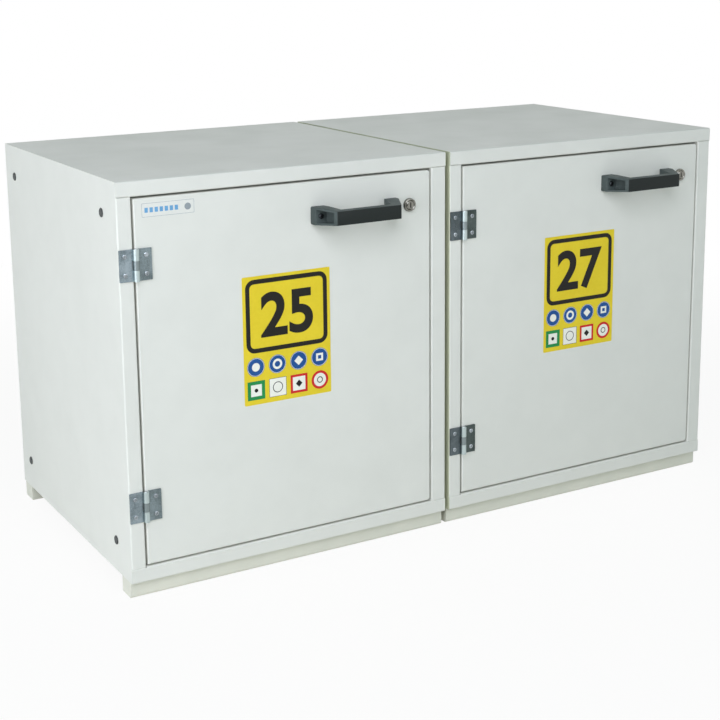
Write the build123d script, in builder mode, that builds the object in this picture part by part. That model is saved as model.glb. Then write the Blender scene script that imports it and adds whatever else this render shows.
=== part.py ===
from build123d import *
import os

# Pair of underbench safety cabinets, joined side by side, in millimetres.
# +Z is up and the doors face -Y. The origin lies on the floor, at the centre of the footprint
# that the cases and their door handles cover together.

# Overall sizes of one cabinet and of the pair
cabinet_width = 546.0
cabinet_depth = 510.0
case_height = 594.0
rail_height = 26.0
pair_gap = 8.0

# Folded steel sheet
sheet = 1.5
bend_radius = 2.5

# Front frame round each door opening
hinge_stile = 22.5
lock_stile = 26.5
top_band = 22.5
bottom_band = 23.0
stop_width = 12.0
relief_radius = 1.6

# Door, set flush into the front frame
door_gap = 3.0
door_depth = 24.0
door_corner_radius = 5.0
door_edge_radius = 2.0
seal_thickness = 1.7
seal_width = 9.0
seal_inset = 5.0
seal_clearance = 0.3

# Butt hinges screwed to the front
hinge_from_top = 93.5
hinge_from_bottom = 91.0
hinge_height = 46.0
hinge_offset = 2.5
leaf_width = 24.5
leaf_thickness = 2.0
leaf_corner_radius = 0.8
barrel_radius = 4.5
pin_radius = 2.0
pin_clearance = 0.05
pin_head_radius = 3.2
pin_head_height = 0.6
middle_knuckle_height = 13.0
knuckle_gap = 0.4
leaf_clearance = 0.3
hinge_screw_reach = 16.0
hinge_screw_rise = 13.5
hinge_screw_radius = 2.0
hinge_screw_head_radius = 3.6
hinge_screw_head_height = 1.3
hinge_screw_length = 7.0

# Pull handle, at the height of the lock and measured from its middle
handle_from_lock = 98.0
handle_length = 150.0
handle_bar_length = 110.0
handle_reach = 48.0
handle_foot_width = 22.0
handle_foot_height = 27.0
handle_bar_height = 21.0
handle_bar_depth = 12.0
handle_foot_depth = 6.0
handle_wall = 4.5
handle_pocket_floor = 12.0
handle_pocket_end = 41.0
handle_pocket_rim = 3.3
handle_hole_spacing = 128.0
handle_rounding = 1.6
handle_screw_radius = 2.5
handle_screw_head_radius = 4.2
handle_screw_head_height = 3.0
handle_screw_clearance = 0.1
handle_screw_length = 20.0

# Cam lock at the free edge of the door
lock_from_edge = 38.5
lock_from_top = 51.0
lock_flange_radius = 10.5
lock_flange_height = 4.6
lock_barrel_radius = 9.0
lock_hole_clearance = 0.1
plug_radius = 7.0
plug_clearance = 0.05
plug_proud = 0.6
key_slot_width = 1.8
key_slot_length = 8.5
key_slot_depth = 5.0
lock_nut_radius = 13.0
lock_nut_height = 3.6
cam_thickness = 2.5
cam_width = 16.0
cam_length = 36.0
cam_stop_clearance = 0.8
cam_screw_radius = 2.0
cam_screw_head_radius = 4.0
cam_screw_head_height = 2.5
cam_screw_length = 8.0

# Plinth rails under the front and the back of each case
rail_front_setback = 10.0
rail_rear_setback = 3.0
rail_depth = 34.0
rail_end_inset = 1.0
rail_sheet = 2.0
rail_corner_radius = 5.0

# Bolt places in the side walls
bolt_from_front = 58.5
bolt_from_back = 45.5
bolt_from_bottom = 49.5
bolt_from_top = 50.5
bolt_radius = 4.0
bolt_head_radius = 7.5
bolt_head_height = 4.5
bolt_clearance = 0.2
bolt_in_spacer = 3.6
spacer_radius = 9.0
plug_head_radius = 6.75
plug_head_height = 1.6
plug_stem_length = 8.0

# Back panel tray with two rows of vent holes
back_flange = 15.0
vent_radius = 5.0
vent_count = 9
vent_spacing = 40.0
vent_row_inset = 60.0

# Slotted strips and clips that carry the shelf
strip_width = 14.0
strip_thickness = 2.0
strip_from_bottom = 104.0
strip_from_top = 80.0
strip_from_front = 75.0
strip_from_back = 60.0
slot_pitch = 25.0
slot_count = 15
slot_height = 8.0
slot_width = 4.0
clip_width = 12.0
clip_reach = 12.0
clip_height = 14.0
clip_lip = 3.0
clip_tab_clearance = 0.3

# Shelf, made as a shallow spill tray, and the sump tray on the floor of the case
shelf_from_bottom = 296.0
shelf_height = 32.0
shelf_sheet = 1.2
shelf_side_clearance = 1.5
shelf_from_front = 45.0
shelf_from_back = 25.0
sump_height = 62.0
sump_wall = 3.0
sump_side_clearance = 3.0
sump_from_front = 42.0
sump_from_back = 22.0
sump_rim = 6.0
tray_corner_radius = 8.0

# Sheet label on each door
label_width = 147.0
label_height = 196.5
label_thickness = 0.3
label_from_left = 188.5
label_from_top = 132.25
label_corner_radius = 2.0

# Places that follow from the sizes above
front_y = -(cabinet_depth - handle_reach) / 2
back_y = front_y + cabinet_depth
case_z = rail_height
top_z = case_z + case_height
opening_bottom = case_z + bottom_band
opening_top = top_z - top_band
stop_y = front_y + door_depth + seal_thickness + seal_clearance
stop_back_y = stop_y + sheet
door_bottom = opening_bottom + door_gap
door_top = opening_top - door_gap
door_width = cabinet_width - hinge_stile - lock_stile - 2 * door_gap
door_height = door_top - door_bottom
door_back_y = front_y + door_depth
hinge_y = front_y - barrel_radius
hinge_high_z = door_top - hinge_from_top
hinge_low_z = door_bottom + hinge_from_bottom
lock_z = door_top - lock_from_top
handle_z = lock_z
label_z = door_top - label_from_top - label_height / 2
strip_bottom = case_z + strip_from_bottom
strip_top = top_z - strip_from_top
shelf_z = case_z + shelf_from_bottom
cam_y = stop_back_y + cam_stop_clearance
cabinet_lefts = {
    "left": -pair_gap / 2 - cabinet_width,
    "right": pair_gap / 2,
}
bolt_places = [
    (y, z)
    for y in (front_y + bolt_from_front, back_y - bolt_from_back)
    for z in (case_z + bolt_from_bottom, top_z - bolt_from_top)
]


def block(x0, x1, y0, y1, z0, z1, mode=Mode.ADD):
    """Box between two corners, in the part being built."""
    with Locations(((x0 + x1) / 2, (y0 + y1) / 2, (z0 + z1) / 2)):
        Box(abs(x1 - x0), abs(y1 - y0), abs(z1 - z0), mode=mode)


def rod_y(x, z, radius, y0, y1, mode=Mode.ADD):
    """Cylinder along Y between y0 and y1."""
    with Locations((x, (y0 + y1) / 2, z)):
        Cylinder(radius, abs(y1 - y0), rotation=(90, 0, 0), mode=mode)


def rod_x(y, z, radius, x0, x1, mode=Mode.ADD):
    """Cylinder along X between x0 and x1."""
    with Locations(((x0 + x1) / 2, y, z)):
        Cylinder(radius, abs(x1 - x0), rotation=(0, 90, 0), mode=mode)


def rod_z(x, y, radius, z0, z1, mode=Mode.ADD):
    """Cylinder along Z between z0 and z1."""
    with Locations((x, y, (z0 + z1) / 2)):
        Cylinder(radius, abs(z1 - z0), mode=mode)


def relief_hole(left):
    """Small round hole at the lower hinge corner of the door opening."""
    x = left + hinge_stile
    rod_y(x, opening_bottom, relief_radius, front_y - sheet, front_y + 2 * sheet, Mode.SUBTRACT)


def save(part, name):
    """Label one finished piece and write it as its own file."""
    part.label = name
    export_step(part, f"parts/{name}.step")


# Case

def side_panel(x_outer, inward, stile, relief):
    """Side wall folded round the front into the stile, the jamb and the door stop."""
    fold = [
        (0, back_y),
        (0, front_y),
        (stile, front_y),
        (stile, stop_y),
        (stile + stop_width, stop_y),
    ]
    with BuildPart() as panel:
        with BuildSketch(Plane.XY.offset(case_z + sheet)):
            with BuildLine():
                outer = FilletPolyline(*[(x_outer + inward * x, y) for x, y in fold], radius=bend_radius)
                offset(outer, amount=sheet, side=Side.LEFT if inward > 0 else Side.RIGHT)
            make_face()
        extrude(amount=case_height - 2 * sheet)
        # The stile, the jamb and the stop end where the two bands begin.
        for z0, z1 in ((case_z, opening_bottom), (opening_top, top_z)):
            x_wall = x_outer + inward * sheet
            x_end = x_outer + inward * (stile + stop_width + sheet)
            block(x_wall, x_end, front_y - sheet, stop_back_y + sheet, z0, z1, mode=Mode.SUBTRACT)
            block(x_outer - inward, x_wall, front_y - sheet, front_y + sheet, z0, z1, mode=Mode.SUBTRACT)
        x0 = x_outer - inward * sheet
        x1 = x_outer + inward * 2 * sheet
        for y, z in bolt_places:
            rod_x(y, z, bolt_radius + bolt_clearance, x0, x1, Mode.SUBTRACT)
        if relief:
            relief_hole(x_outer)
    return panel.part


def band_panel(left, z_outer, z_lip, inward):
    """Top or bottom sheet, folded down or up into the front band, its lip and the door stop."""
    fold = [
        (back_y, z_outer),
        (front_y, z_outer),
        (front_y, z_lip),
        (stop_y, z_lip),
        (stop_y, z_lip - inward * stop_width),
    ]
    right = left + cabinet_width
    with BuildPart() as panel:
        with BuildSketch(Plane.YZ.offset(left)):
            with BuildLine():
                outer = FilletPolyline(*fold, radius=bend_radius)
                offset(outer, amount=sheet, side=Side.LEFT if inward > 0 else Side.RIGHT)
            make_face()
        extrude(amount=cabinet_width)
        # The lip stands between the side walls, and the stop between the side stops.
        z_far = z_lip - inward * (stop_width + sheet)
        z_under = z_outer - inward * sheet
        y_past = stop_back_y + sheet
        for x_edge, step, stile in ((left, 1, hinge_stile), (right, -1, lock_stile)):
            x_wall = x_edge + step * sheet
            block(x_edge - step, x_wall, front_y + sheet, y_past, z_far, z_under, Mode.SUBTRACT)
            x_stop = x_edge + step * (stile + stop_width)
            block(x_edge, x_stop, stop_y - 2 * bend_radius, y_past, z_far, z_lip, Mode.SUBTRACT)
    return panel.part


def top_panel(left):
    """Top sheet with the upper front band."""
    return band_panel(left, top_z, opening_top, 1)


def bottom_panel(left):
    """Bottom sheet with the lower front band and a small relief hole at the hinge corner."""
    with BuildPart() as panel:
        add(band_panel(left, case_z, opening_bottom, -1))
        relief_hole(left)
    return panel.part


def back_panel(left):
    """Back sheet with flanges turned forward, between the side walls, with two rows of vents."""
    x0 = left + sheet
    x1 = left + cabinet_width - sheet
    z0 = case_z + sheet
    z1 = top_z - sheet
    y0 = back_y - back_flange
    with BuildPart() as panel:
        block(x0, x1, y0, back_y, z0, z1)
        block(x0 + sheet, x1 - sheet, y0, back_y - sheet, z0 + sheet, z1 - sheet, Mode.SUBTRACT)
        for z in (case_z + vent_row_inset, top_z - vent_row_inset):
            with Locations(Plane(origin=((x0 + x1) / 2, back_y, z), x_dir=(1, 0, 0), z_dir=(0, 1, 0))):
                with GridLocations(vent_spacing, 1, vent_count, 1):
                    Hole(vent_radius, depth=2 * sheet)
    return panel.part


def rail(left, outer_y, inward):
    """Plinth rail: a folded trough with closed ends, open under the floor of the case."""
    x0 = left + rail_end_inset
    x1 = left + cabinet_width - rail_end_inset
    inner_y = outer_y + inward * rail_depth
    with BuildPart() as channel:
        block(x0, x1, outer_y, inner_y, 0, rail_height)
        lower = channel.edges().filter_by(Axis.X).group_by(Axis.Z)[0]
        outer_edge = lower.sort_by(Axis.Y)[0 if inward > 0 else -1]
        fillet(outer_edge, rail_corner_radius)
        offset(amount=-rail_sheet, openings=channel.faces().sort_by(Axis.Z)[-1])
    return channel.part


# Door

def door_outline(left, inset=0.0, radius=door_corner_radius):
    """Front outline of the door, rounded on the lock side only."""
    width = door_width - 2 * inset
    x_middle = left + hinge_stile + door_gap + door_width / 2
    with Locations((x_middle, (door_bottom + door_top) / 2)):
        outline = Rectangle(width, door_height - 2 * inset)
    fillet(outline.vertices().group_by(Axis.X)[-1], radius)


def lock_x(left):
    """Middle of the lock, from the free edge of the door."""
    return left + hinge_stile + door_gap + door_width - lock_from_edge


def handle_x(left):
    """Middle of the handle."""
    return lock_x(left) - handle_from_lock


def hinge_x(left):
    """Axis of the hinge pins."""
    return left + hinge_stile + hinge_offset


def handle_screw_places(left):
    """Where the two handle screws stand."""
    return [handle_x(left) - handle_hole_spacing / 2, handle_x(left) + handle_hole_spacing / 2]


def hinge_screw_places(left, side):
    """Screw places of both hinges, on the frame with side -1 or on the door with side 1."""
    return [
        (hinge_x(left) + side * hinge_screw_reach, z_middle + rise)
        for z_middle in (hinge_high_z, hinge_low_z)
        for rise in (-hinge_screw_rise, hinge_screw_rise)
    ]


def door_skin(left):
    """Outer door pan with its four edges turned back."""
    with BuildPart() as skin:
        with BuildSketch(Plane.XZ.offset(-front_y)):
            door_outline(left)
        extrude(amount=-(door_depth - sheet))
        fillet(skin.faces().sort_by(Axis.Y)[0].edges(), door_edge_radius)
        offset(amount=-sheet, openings=skin.faces().sort_by(Axis.Y)[-1])
        y0 = front_y - sheet
        y1 = front_y + 2 * sheet
        rod_y(lock_x(left), lock_z, lock_barrel_radius + lock_hole_clearance, y0, y1, Mode.SUBTRACT)
        for x in handle_screw_places(left):
            rod_y(x, handle_z, handle_screw_radius + handle_screw_clearance, y0, y1, Mode.SUBTRACT)
        for x, z in hinge_screw_places(left, 1):
            rod_y(x, z, hinge_screw_radius, y0, y1, Mode.SUBTRACT)
    return skin.part


def door_inner_panel(left):
    """Flat sheet that closes the back of the door pan."""
    with BuildPart() as panel:
        with BuildSketch(Plane.XZ.offset(-(door_back_y - sheet))):
            door_outline(left)
        extrude(amount=-sheet)
        y0 = door_back_y - 2 * sheet
        y1 = door_back_y + sheet
        rod_y(lock_x(left), lock_z, lock_barrel_radius + lock_hole_clearance, y0, y1, Mode.SUBTRACT)
    return panel.part


def door_seal(left):
    """Sealing strip on the back of the door, a closed ring that meets the door stop."""
    with BuildPart() as seal:
        with BuildSketch(Plane.XZ.offset(-door_back_y)) as ring:
            door_outline(left, seal_inset)
            offset(ring.sketch, amount=-seal_width, kind=Kind.INTERSECTION, mode=Mode.SUBTRACT)
        extrude(amount=-seal_thickness)
    return seal.part


def label(left):
    """Thin sheet label on the door."""
    with BuildPart() as sheet_label:
        with BuildSketch(Plane.XZ.offset(-front_y)):
            with Locations((left + label_from_left + label_width / 2, label_z)):
                RectangleRounded(label_width, label_height, label_corner_radius)
        extrude(amount=label_thickness)
    return sheet_label.part


# Hinges

def hinge_leaf(left, z_middle, side):
    """One leaf: the frame leaf with side -1 has two knuckles, the door leaf with side 1 has one."""
    axis_x = hinge_x(left)
    z0 = z_middle - hinge_height / 2
    z1 = z_middle + hinge_height / 2
    half_middle = middle_knuckle_height / 2
    if side < 0:
        half_space = half_middle + knuckle_gap / 2
        spans = [(z0, z_middle - half_space), (z_middle + half_space, z1)]
    else:
        half_knuckle = half_middle - knuckle_gap / 2
        spans = [(z_middle - half_knuckle, z_middle + half_knuckle)]
    with BuildPart() as leaf:
        x_plate = axis_x + side * (barrel_radius + leaf_clearance)
        x_tip = axis_x + side * leaf_width
        block(x_plate, x_tip, front_y - leaf_thickness, front_y, z0, z1)
        corners = leaf.edges().filter_by(Axis.Y).group_by(Axis.X)[0 if side < 0 else -1]
        fillet(corners, leaf_corner_radius)
        for low, high in spans:
            block(axis_x, x_plate, front_y - leaf_thickness, front_y, low, high)
            rod_z(axis_x, hinge_y, barrel_radius, low, high)
        rod_z(axis_x, hinge_y, pin_radius + pin_clearance, z0, z1, Mode.SUBTRACT)
        x_screw = axis_x + side * hinge_screw_reach
        y0 = front_y - leaf_thickness
        for rise in (-hinge_screw_rise, hinge_screw_rise):
            rod_y(x_screw, z_middle + rise, hinge_screw_radius, y0, front_y, Mode.SUBTRACT)
    return leaf.part


def hinge_pin(left, z_middle):
    """Hinge pin with a riveted head at each end."""
    with BuildPart() as pin:
        z0 = z_middle - hinge_height / 2
        z1 = z_middle + hinge_height / 2
        rod_z(hinge_x(left), hinge_y, pin_radius, z0, z1)
        rod_z(hinge_x(left), hinge_y, pin_head_radius, z0 - pin_head_height, z0)
        rod_z(hinge_x(left), hinge_y, pin_head_radius, z1, z1 + pin_head_height)
        fillet(pin.edges().filter_by(GeomType.CIRCLE).group_by(Axis.Z)[0], pin_head_height / 2)
        fillet(pin.edges().filter_by(GeomType.CIRCLE).group_by(Axis.Z)[-1], pin_head_height / 2)
    return pin.part


def hinge_screws(places):
    """Pan-head screws through a hinge leaf into the sheet behind it."""
    with BuildPart() as screws:
        y_head = front_y - leaf_thickness
        for x, z in places:
            rod_y(x, z, hinge_screw_head_radius, y_head - hinge_screw_head_height, y_head)
        heads = screws.edges().filter_by(GeomType.CIRCLE).group_by(Axis.Y)[0]
        fillet(heads, hinge_screw_head_height / 2)
        for x, z in places:
            rod_y(x, z, hinge_screw_radius, y_head, y_head + hinge_screw_length)
    return screws.part


def drilled_for_hinges(panel, places):
    """Panel with the pilot holes of the hinge screws."""
    with BuildPart() as drilled:
        add(panel)
        for x, z in places:
            rod_y(x, z, hinge_screw_radius, front_y - sheet, front_y + 2 * sheet, Mode.SUBTRACT)
    return drilled.part


# Handle

def handle(left):
    """Moulded bridge handle: two feet, slanted legs and a flat bar, with a screw pocket in each end."""
    middle = handle_x(left)
    foot_end = handle_length / 2
    bar_end = handle_bar_length / 2
    leg_root = foot_end - handle_foot_width
    leg_tip = bar_end - handle_bar_depth
    y_bar = front_y - handle_reach
    y_bar_back = y_bar + handle_bar_depth
    y_foot = front_y - handle_foot_depth
    with BuildPart() as grip:
        # Outline seen from above
        with BuildSketch(Plane.XY.offset(handle_z - handle_foot_height / 2)):
            with BuildLine():
                Polyline(
                    (middle - foot_end, front_y),
                    (middle - foot_end, y_foot),
                    (middle - bar_end, y_bar),
                    (middle + bar_end, y_bar),
                    (middle + foot_end, y_foot),
                    (middle + foot_end, front_y),
                    (middle + leg_root, front_y),
                    (middle + leg_tip, y_bar_back),
                    (middle - leg_tip, y_bar_back),
                    (middle - leg_root, front_y),
                    close=True,
                )
            make_face()
        extrude(amount=handle_foot_height)
        # Seen from the end the handle tapers from the feet to the bar.
        with BuildSketch(Plane.YZ.offset(middle - foot_end)):
            with BuildLine():
                Polyline(
                    (front_y, handle_z - handle_foot_height / 2),
                    (front_y - handle_pocket_floor, handle_z - handle_foot_height / 2),
                    (y_bar, handle_z - handle_bar_height / 2),
                    (y_bar, handle_z + handle_bar_height / 2),
                    (front_y - handle_pocket_floor, handle_z + handle_foot_height / 2),
                    (front_y, handle_z + handle_foot_height / 2),
                    close=True,
                )
            make_face()
        extrude(amount=handle_length, mode=Mode.INTERSECT)
        upright = grip.edges().filter_by(Axis.Z)
        fillet(upright.group_by(Axis.Y)[0], 2 * handle_rounding)
        front_face = grip.faces().sort_by(Axis.Y)[0]
        fillet(front_face.edges().filter_by(Axis.X), handle_rounding)
        # Screw pockets, open at the slanted outer face of each leg and tapered like the handle
        inner_slope = (leg_root - leg_tip) / (handle_reach - handle_bar_depth)
        floor_in = leg_root - handle_pocket_floor * inner_slope + handle_wall
        end_in = leg_root - handle_pocket_end * inner_slope + handle_wall
        taper = (handle_foot_height - handle_bar_height) / 2 / (handle_reach - handle_pocket_floor)
        half_floor = handle_foot_height / 2 - handle_pocket_rim
        half_end = half_floor - (handle_pocket_end - handle_pocket_floor) * taper
        y_floor = front_y - handle_pocket_floor
        y_end = front_y - handle_pocket_end
        for side in (-1, 1):
            with BuildPart(mode=Mode.PRIVATE) as pocket:
                with BuildSketch(Plane.XY.offset(handle_z - half_floor)):
                    with BuildLine():
                        Polyline(
                            (middle + side * (foot_end + 1), y_floor),
                            (middle + side * floor_in, y_floor),
                            (middle + side * end_in, y_end),
                            (middle + side * (foot_end + 1), y_end),
                            close=True,
                        )
                    make_face()
                extrude(amount=2 * half_floor)
                with BuildSketch(Plane.YZ.offset(middle - handle_length)):
                    with BuildLine():
                        Polyline(
                            (y_floor, handle_z - half_floor),
                            (y_end, handle_z - half_end),
                            (y_end, handle_z + half_end),
                            (y_floor, handle_z + half_floor),
                            close=True,
                        )
                    make_face()
                extrude(amount=2 * handle_length, mode=Mode.INTERSECT)
            add(pocket.part, mode=Mode.SUBTRACT)
        for x in handle_screw_places(left):
            rod_y(
                x,
                handle_z,
                handle_screw_radius + handle_screw_clearance,
                front_y - handle_pocket_floor,
                front_y,
                Mode.SUBTRACT,
            )
    return grip.part


def handle_screws(left):
    """Two screws from the pockets through the feet and the door skin."""
    y_seat = front_y - handle_pocket_floor
    with BuildPart() as screws:
        for x in handle_screw_places(left):
            rod_y(x, handle_z, handle_screw_head_radius, y_seat - handle_screw_head_height, y_seat)
            rod_y(x, handle_z, handle_screw_radius, y_seat, y_seat + handle_screw_length)
    return screws.part


# Cam lock

def lock_body(left):
    """Lock housing: round flange on the door and a barrel through both door sheets."""
    x = lock_x(left)
    with BuildPart() as body:
        rod_y(x, lock_z, lock_flange_radius, front_y - lock_flange_height, front_y)
        fillet(body.edges().filter_by(GeomType.CIRCLE).group_by(Axis.Y)[0], lock_flange_height / 4)
        rod_y(x, lock_z, lock_barrel_radius, front_y, cam_y)
        rod_y(x, lock_z, plug_radius + plug_clearance, front_y - 2 * lock_flange_height, cam_y, Mode.SUBTRACT)
    return body.part


def lock_nut(left):
    """Hexagon nut that clamps the lock from inside the door."""
    with BuildPart() as nut:
        with BuildSketch(Plane.XZ.offset(-door_back_y)):
            with Locations((lock_x(left), lock_z)):
                RegularPolygon(lock_nut_radius, 6)
                Circle(lock_barrel_radius, mode=Mode.SUBTRACT)
        extrude(amount=-lock_nut_height)
    return nut.part


def lock_plug(left):
    """Turning plug with the key slot in its face."""
    x = lock_x(left)
    y_face = front_y - lock_flange_height - plug_proud
    with BuildPart() as plug:
        rod_y(x, lock_z, plug_radius, y_face, cam_y)
        rod_y(x, lock_z, cam_screw_radius, cam_y - cam_screw_length, cam_y, Mode.SUBTRACT)
        block(
            x - key_slot_width / 2,
            x + key_slot_width / 2,
            y_face,
            y_face + key_slot_depth,
            lock_z - key_slot_length / 2,
            lock_z + key_slot_length / 2,
            Mode.SUBTRACT,
        )
    return plug.part


def lock_cam(left):
    """Cam blade, hanging down at rest, that turns behind the door stop."""
    x = lock_x(left)
    half = cam_width / 2
    with BuildPart() as cam:
        with BuildSketch(Plane.XZ.offset(-cam_y)):
            with Locations((x, lock_z - (cam_length - half) / 2)):
                Rectangle(cam_width, cam_length - half)
            with Locations((x, lock_z)):
                Circle(half)
                Circle(cam_screw_radius, mode=Mode.SUBTRACT)
        extrude(amount=-cam_thickness)
    return cam.part


def lock_cam_screw(left):
    """Screw that holds the cam on the end of the plug."""
    x = lock_x(left)
    y_head = cam_y + cam_thickness
    with BuildPart() as screw:
        rod_y(x, lock_z, cam_screw_head_radius, y_head, y_head + cam_screw_head_height)
        fillet(screw.edges().filter_by(GeomType.CIRCLE).group_by(Axis.Y)[-1], cam_screw_head_height / 3)
        rod_y(x, lock_z, cam_screw_radius, y_head - cam_screw_length, y_head)
    return screw.part


# Inside of the case

def strip_places(left):
    """Inner face of the side wall, inward direction and Y of each of the four strips."""
    return [
        (x_wall, inward, y)
        for x_wall, inward in ((left + sheet, 1), (left + cabinet_width - sheet, -1))
        for y in (front_y + strip_from_front, back_y - strip_from_back)
    ]


def slot_z(index):
    """Middle height of one slot, counted from the foot of the strip."""
    return strip_bottom + slot_pitch * (index + 1)


def shelf_slot_z():
    """Height of the slot that holds the clips, the highest one under the shelf."""
    index = int((shelf_z - clip_height / 2 - strip_bottom) // slot_pitch) - 1
    return slot_z(index)


def shelf_strips():
    """Slotted strips on the inside of the side walls."""
    with BuildPart() as strips:
        for left in cabinet_lefts.values():
            for x_wall, inward, y in strip_places(left):
                x_face = x_wall + inward * strip_thickness
                block(x_wall, x_face, y - strip_width / 2, y + strip_width / 2, strip_bottom, strip_top)
                for index in range(slot_count):
                    z = slot_z(index)
                    block(
                        x_wall,
                        x_face,
                        y - slot_width / 2,
                        y + slot_width / 2,
                        z - slot_height / 2,
                        z + slot_height / 2,
                        Mode.SUBTRACT,
                    )
    return strips.part


def shelf_clips():
    """Clips hooked into the strips, one under each corner of the shelf."""
    with BuildPart() as clips:
        for left in cabinet_lefts.values():
            for x_wall, inward, y in strip_places(left):
                x_face = x_wall + inward * strip_thickness
                x_tip = x_face + inward * clip_reach
                z_foot = shelf_z - clip_height
                # Side view with the lower inner corner cut to a slant
                with BuildSketch(Plane.XZ.offset(-(y - clip_width / 2))):
                    with BuildLine():
                        Polyline(
                            (x_face, z_foot),
                            (x_face + inward * clip_lip, z_foot),
                            (x_tip, shelf_z - clip_lip),
                            (x_tip, shelf_z),
                            (x_face, shelf_z),
                            close=True,
                        )
                    make_face()
                extrude(amount=-clip_width)
                z_tab = shelf_slot_z()
                block(
                    x_wall + inward * clip_tab_clearance,
                    x_face,
                    y - slot_width / 2 + clip_tab_clearance,
                    y + slot_width / 2 - clip_tab_clearance,
                    z_tab - slot_height / 2 + clip_tab_clearance,
                    z_tab + slot_height / 2 - clip_tab_clearance,
                )
    return clips.part


def open_tray(x0, x1, y0, y1, z0, z1, wall):
    """Open tray with upright rounded corners."""
    with BuildPart() as tray:
        block(x0, x1, y0, y1, z0, z1)
        fillet(tray.edges().filter_by(Axis.Z), tray_corner_radius)
        offset(amount=-wall, openings=tray.faces().sort_by(Axis.Z)[-1])
    return tray.part


def shelf_tray(left):
    """Shelf in the form of a shallow tray, resting on the four clips."""
    inset = sheet + strip_thickness + shelf_side_clearance
    return open_tray(
        left + inset,
        left + cabinet_width - inset,
        front_y + shelf_from_front,
        back_y - shelf_from_back,
        shelf_z,
        shelf_z + shelf_height,
        shelf_sheet,
    )


def sump_tray(left):
    """Deep tray on the floor of the case, with a rim turned outwards."""
    x0 = left + hinge_stile + stop_width + sump_side_clearance + sump_rim
    x1 = left + cabinet_width - lock_stile - stop_width - sump_side_clearance - sump_rim
    y0 = front_y + sump_from_front
    y1 = back_y - sump_from_back
    z0 = case_z + sheet
    z1 = z0 + sump_height
    length = x1 - x0
    depth = y1 - y0
    rim_radius = tray_corner_radius + sump_rim
    with BuildPart() as tray:
        add(open_tray(x0, x1, y0, y1, z0, z1, sump_wall))
        with BuildSketch(Plane.XY.offset(z1 - sump_wall)):
            with Locations(((x0 + x1) / 2, (y0 + y1) / 2)):
                RectangleRounded(length + 2 * sump_rim, depth + 2 * sump_rim, rim_radius)
                RectangleRounded(
                    length - sump_wall,
                    depth - sump_wall,
                    tray_corner_radius,
                    mode=Mode.SUBTRACT,
                )
        extrude(amount=sump_wall)
    return tray.part


# Fasteners in the side walls

def side_plugs():
    """Round plugs that close the bolt holes in the two outer walls."""
    with BuildPart() as plugs:
        outer_walls = (
            (cabinet_lefts["left"], -1),
            (cabinet_lefts["right"] + cabinet_width, 1),
        )
        for x_wall, outward in outer_walls:
            for y, z in bolt_places:
                rod_x(y, z, plug_head_radius, x_wall, x_wall + outward * plug_head_height)
        heads = plugs.edges().filter_by(GeomType.CIRCLE).group_by(Axis.X)
        fillet(heads[0] + heads[-1], plug_head_height / 2)
        for x_wall, outward in outer_walls:
            for y, z in bolt_places:
                rod_x(y, z, bolt_radius, x_wall - outward * plug_stem_length, x_wall)
    return plugs.part


def joining_spacers():
    """Threaded spacers that keep the two cases apart."""
    with BuildPart() as spacers:
        for y, z in bolt_places:
            rod_x(y, z, spacer_radius, -pair_gap / 2, pair_gap / 2)
            rod_x(y, z, bolt_radius, -pair_gap / 2, pair_gap / 2, Mode.SUBTRACT)
    return spacers.part


def joining_bolts():
    """Bolts from inside each case into the spacers."""
    with BuildPart() as bolts:
        for outward in (-1, 1):
            x_seat = outward * (pair_gap / 2 + sheet)
            for y, z in bolt_places:
                with BuildSketch(Plane(origin=(x_seat, y, z), z_dir=(outward, 0, 0))):
                    RegularPolygon(bolt_head_radius, 6)
                extrude(amount=bolt_head_height)
                rod_x(y, z, bolt_radius, x_seat - outward * (sheet + bolt_in_spacer), x_seat)
    return bolts.part


os.makedirs("parts", exist_ok=True)

for cabinet, left in cabinet_lefts.items():
    right = left + cabinet_width
    frame_places = hinge_screw_places(left, -1)
    hinge_wall = side_panel(left, 1, hinge_stile, relief=True)
    save(drilled_for_hinges(hinge_wall, frame_places), f"{cabinet}_hinge_side_panel")
    save(side_panel(right, -1, lock_stile, relief=False), f"{cabinet}_lock_side_panel")
    save(top_panel(left), f"{cabinet}_top_panel")
    save(bottom_panel(left), f"{cabinet}_bottom_panel")
    save(back_panel(left), f"{cabinet}_back_panel")
    save(rail(left, front_y + rail_front_setback, 1), f"{cabinet}_front_rail")
    save(rail(left, back_y - rail_rear_setback, -1), f"{cabinet}_rear_rail")
    save(door_skin(left), f"{cabinet}_door_skin")
    save(door_inner_panel(left), f"{cabinet}_door_inner_panel")
    save(door_seal(left), f"{cabinet}_door_seal")
    save(label(left), f"{cabinet}_door_label")
    for level, z_middle in (("upper", hinge_high_z), ("lower", hinge_low_z)):
        save(hinge_leaf(left, z_middle, -1), f"{cabinet}_{level}_hinge_frame_leaf")
        save(hinge_leaf(left, z_middle, 1), f"{cabinet}_{level}_hinge_door_leaf")
        save(hinge_pin(left, z_middle), f"{cabinet}_{level}_hinge_pin")
    save(hinge_screws(hinge_screw_places(left, 1)), f"{cabinet}_hinge_door_screws")
    save(handle(left), f"{cabinet}_handle")
    save(handle_screws(left), f"{cabinet}_handle_screws")
    save(lock_body(left), f"{cabinet}_lock_body")
    save(lock_nut(left), f"{cabinet}_lock_nut")
    save(lock_plug(left), f"{cabinet}_lock_plug")
    save(lock_cam(left), f"{cabinet}_lock_cam")
    save(lock_cam_screw(left), f"{cabinet}_lock_cam_screw")
    save(shelf_tray(left), f"{cabinet}_shelf_tray")
    save(sump_tray(left), f"{cabinet}_sump_tray")

all_frame_places = [place for left in cabinet_lefts.values() for place in hinge_screw_places(left, -1)]
save(hinge_screws(all_frame_places), "hinge_frame_screws")
save(shelf_strips(), "shelf_strips")
save(shelf_clips(), "shelf_clips")
save(side_plugs(), "side_plugs")
save(joining_spacers(), "joining_spacers")
save(joining_bolts(), "joining_bolts")
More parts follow.
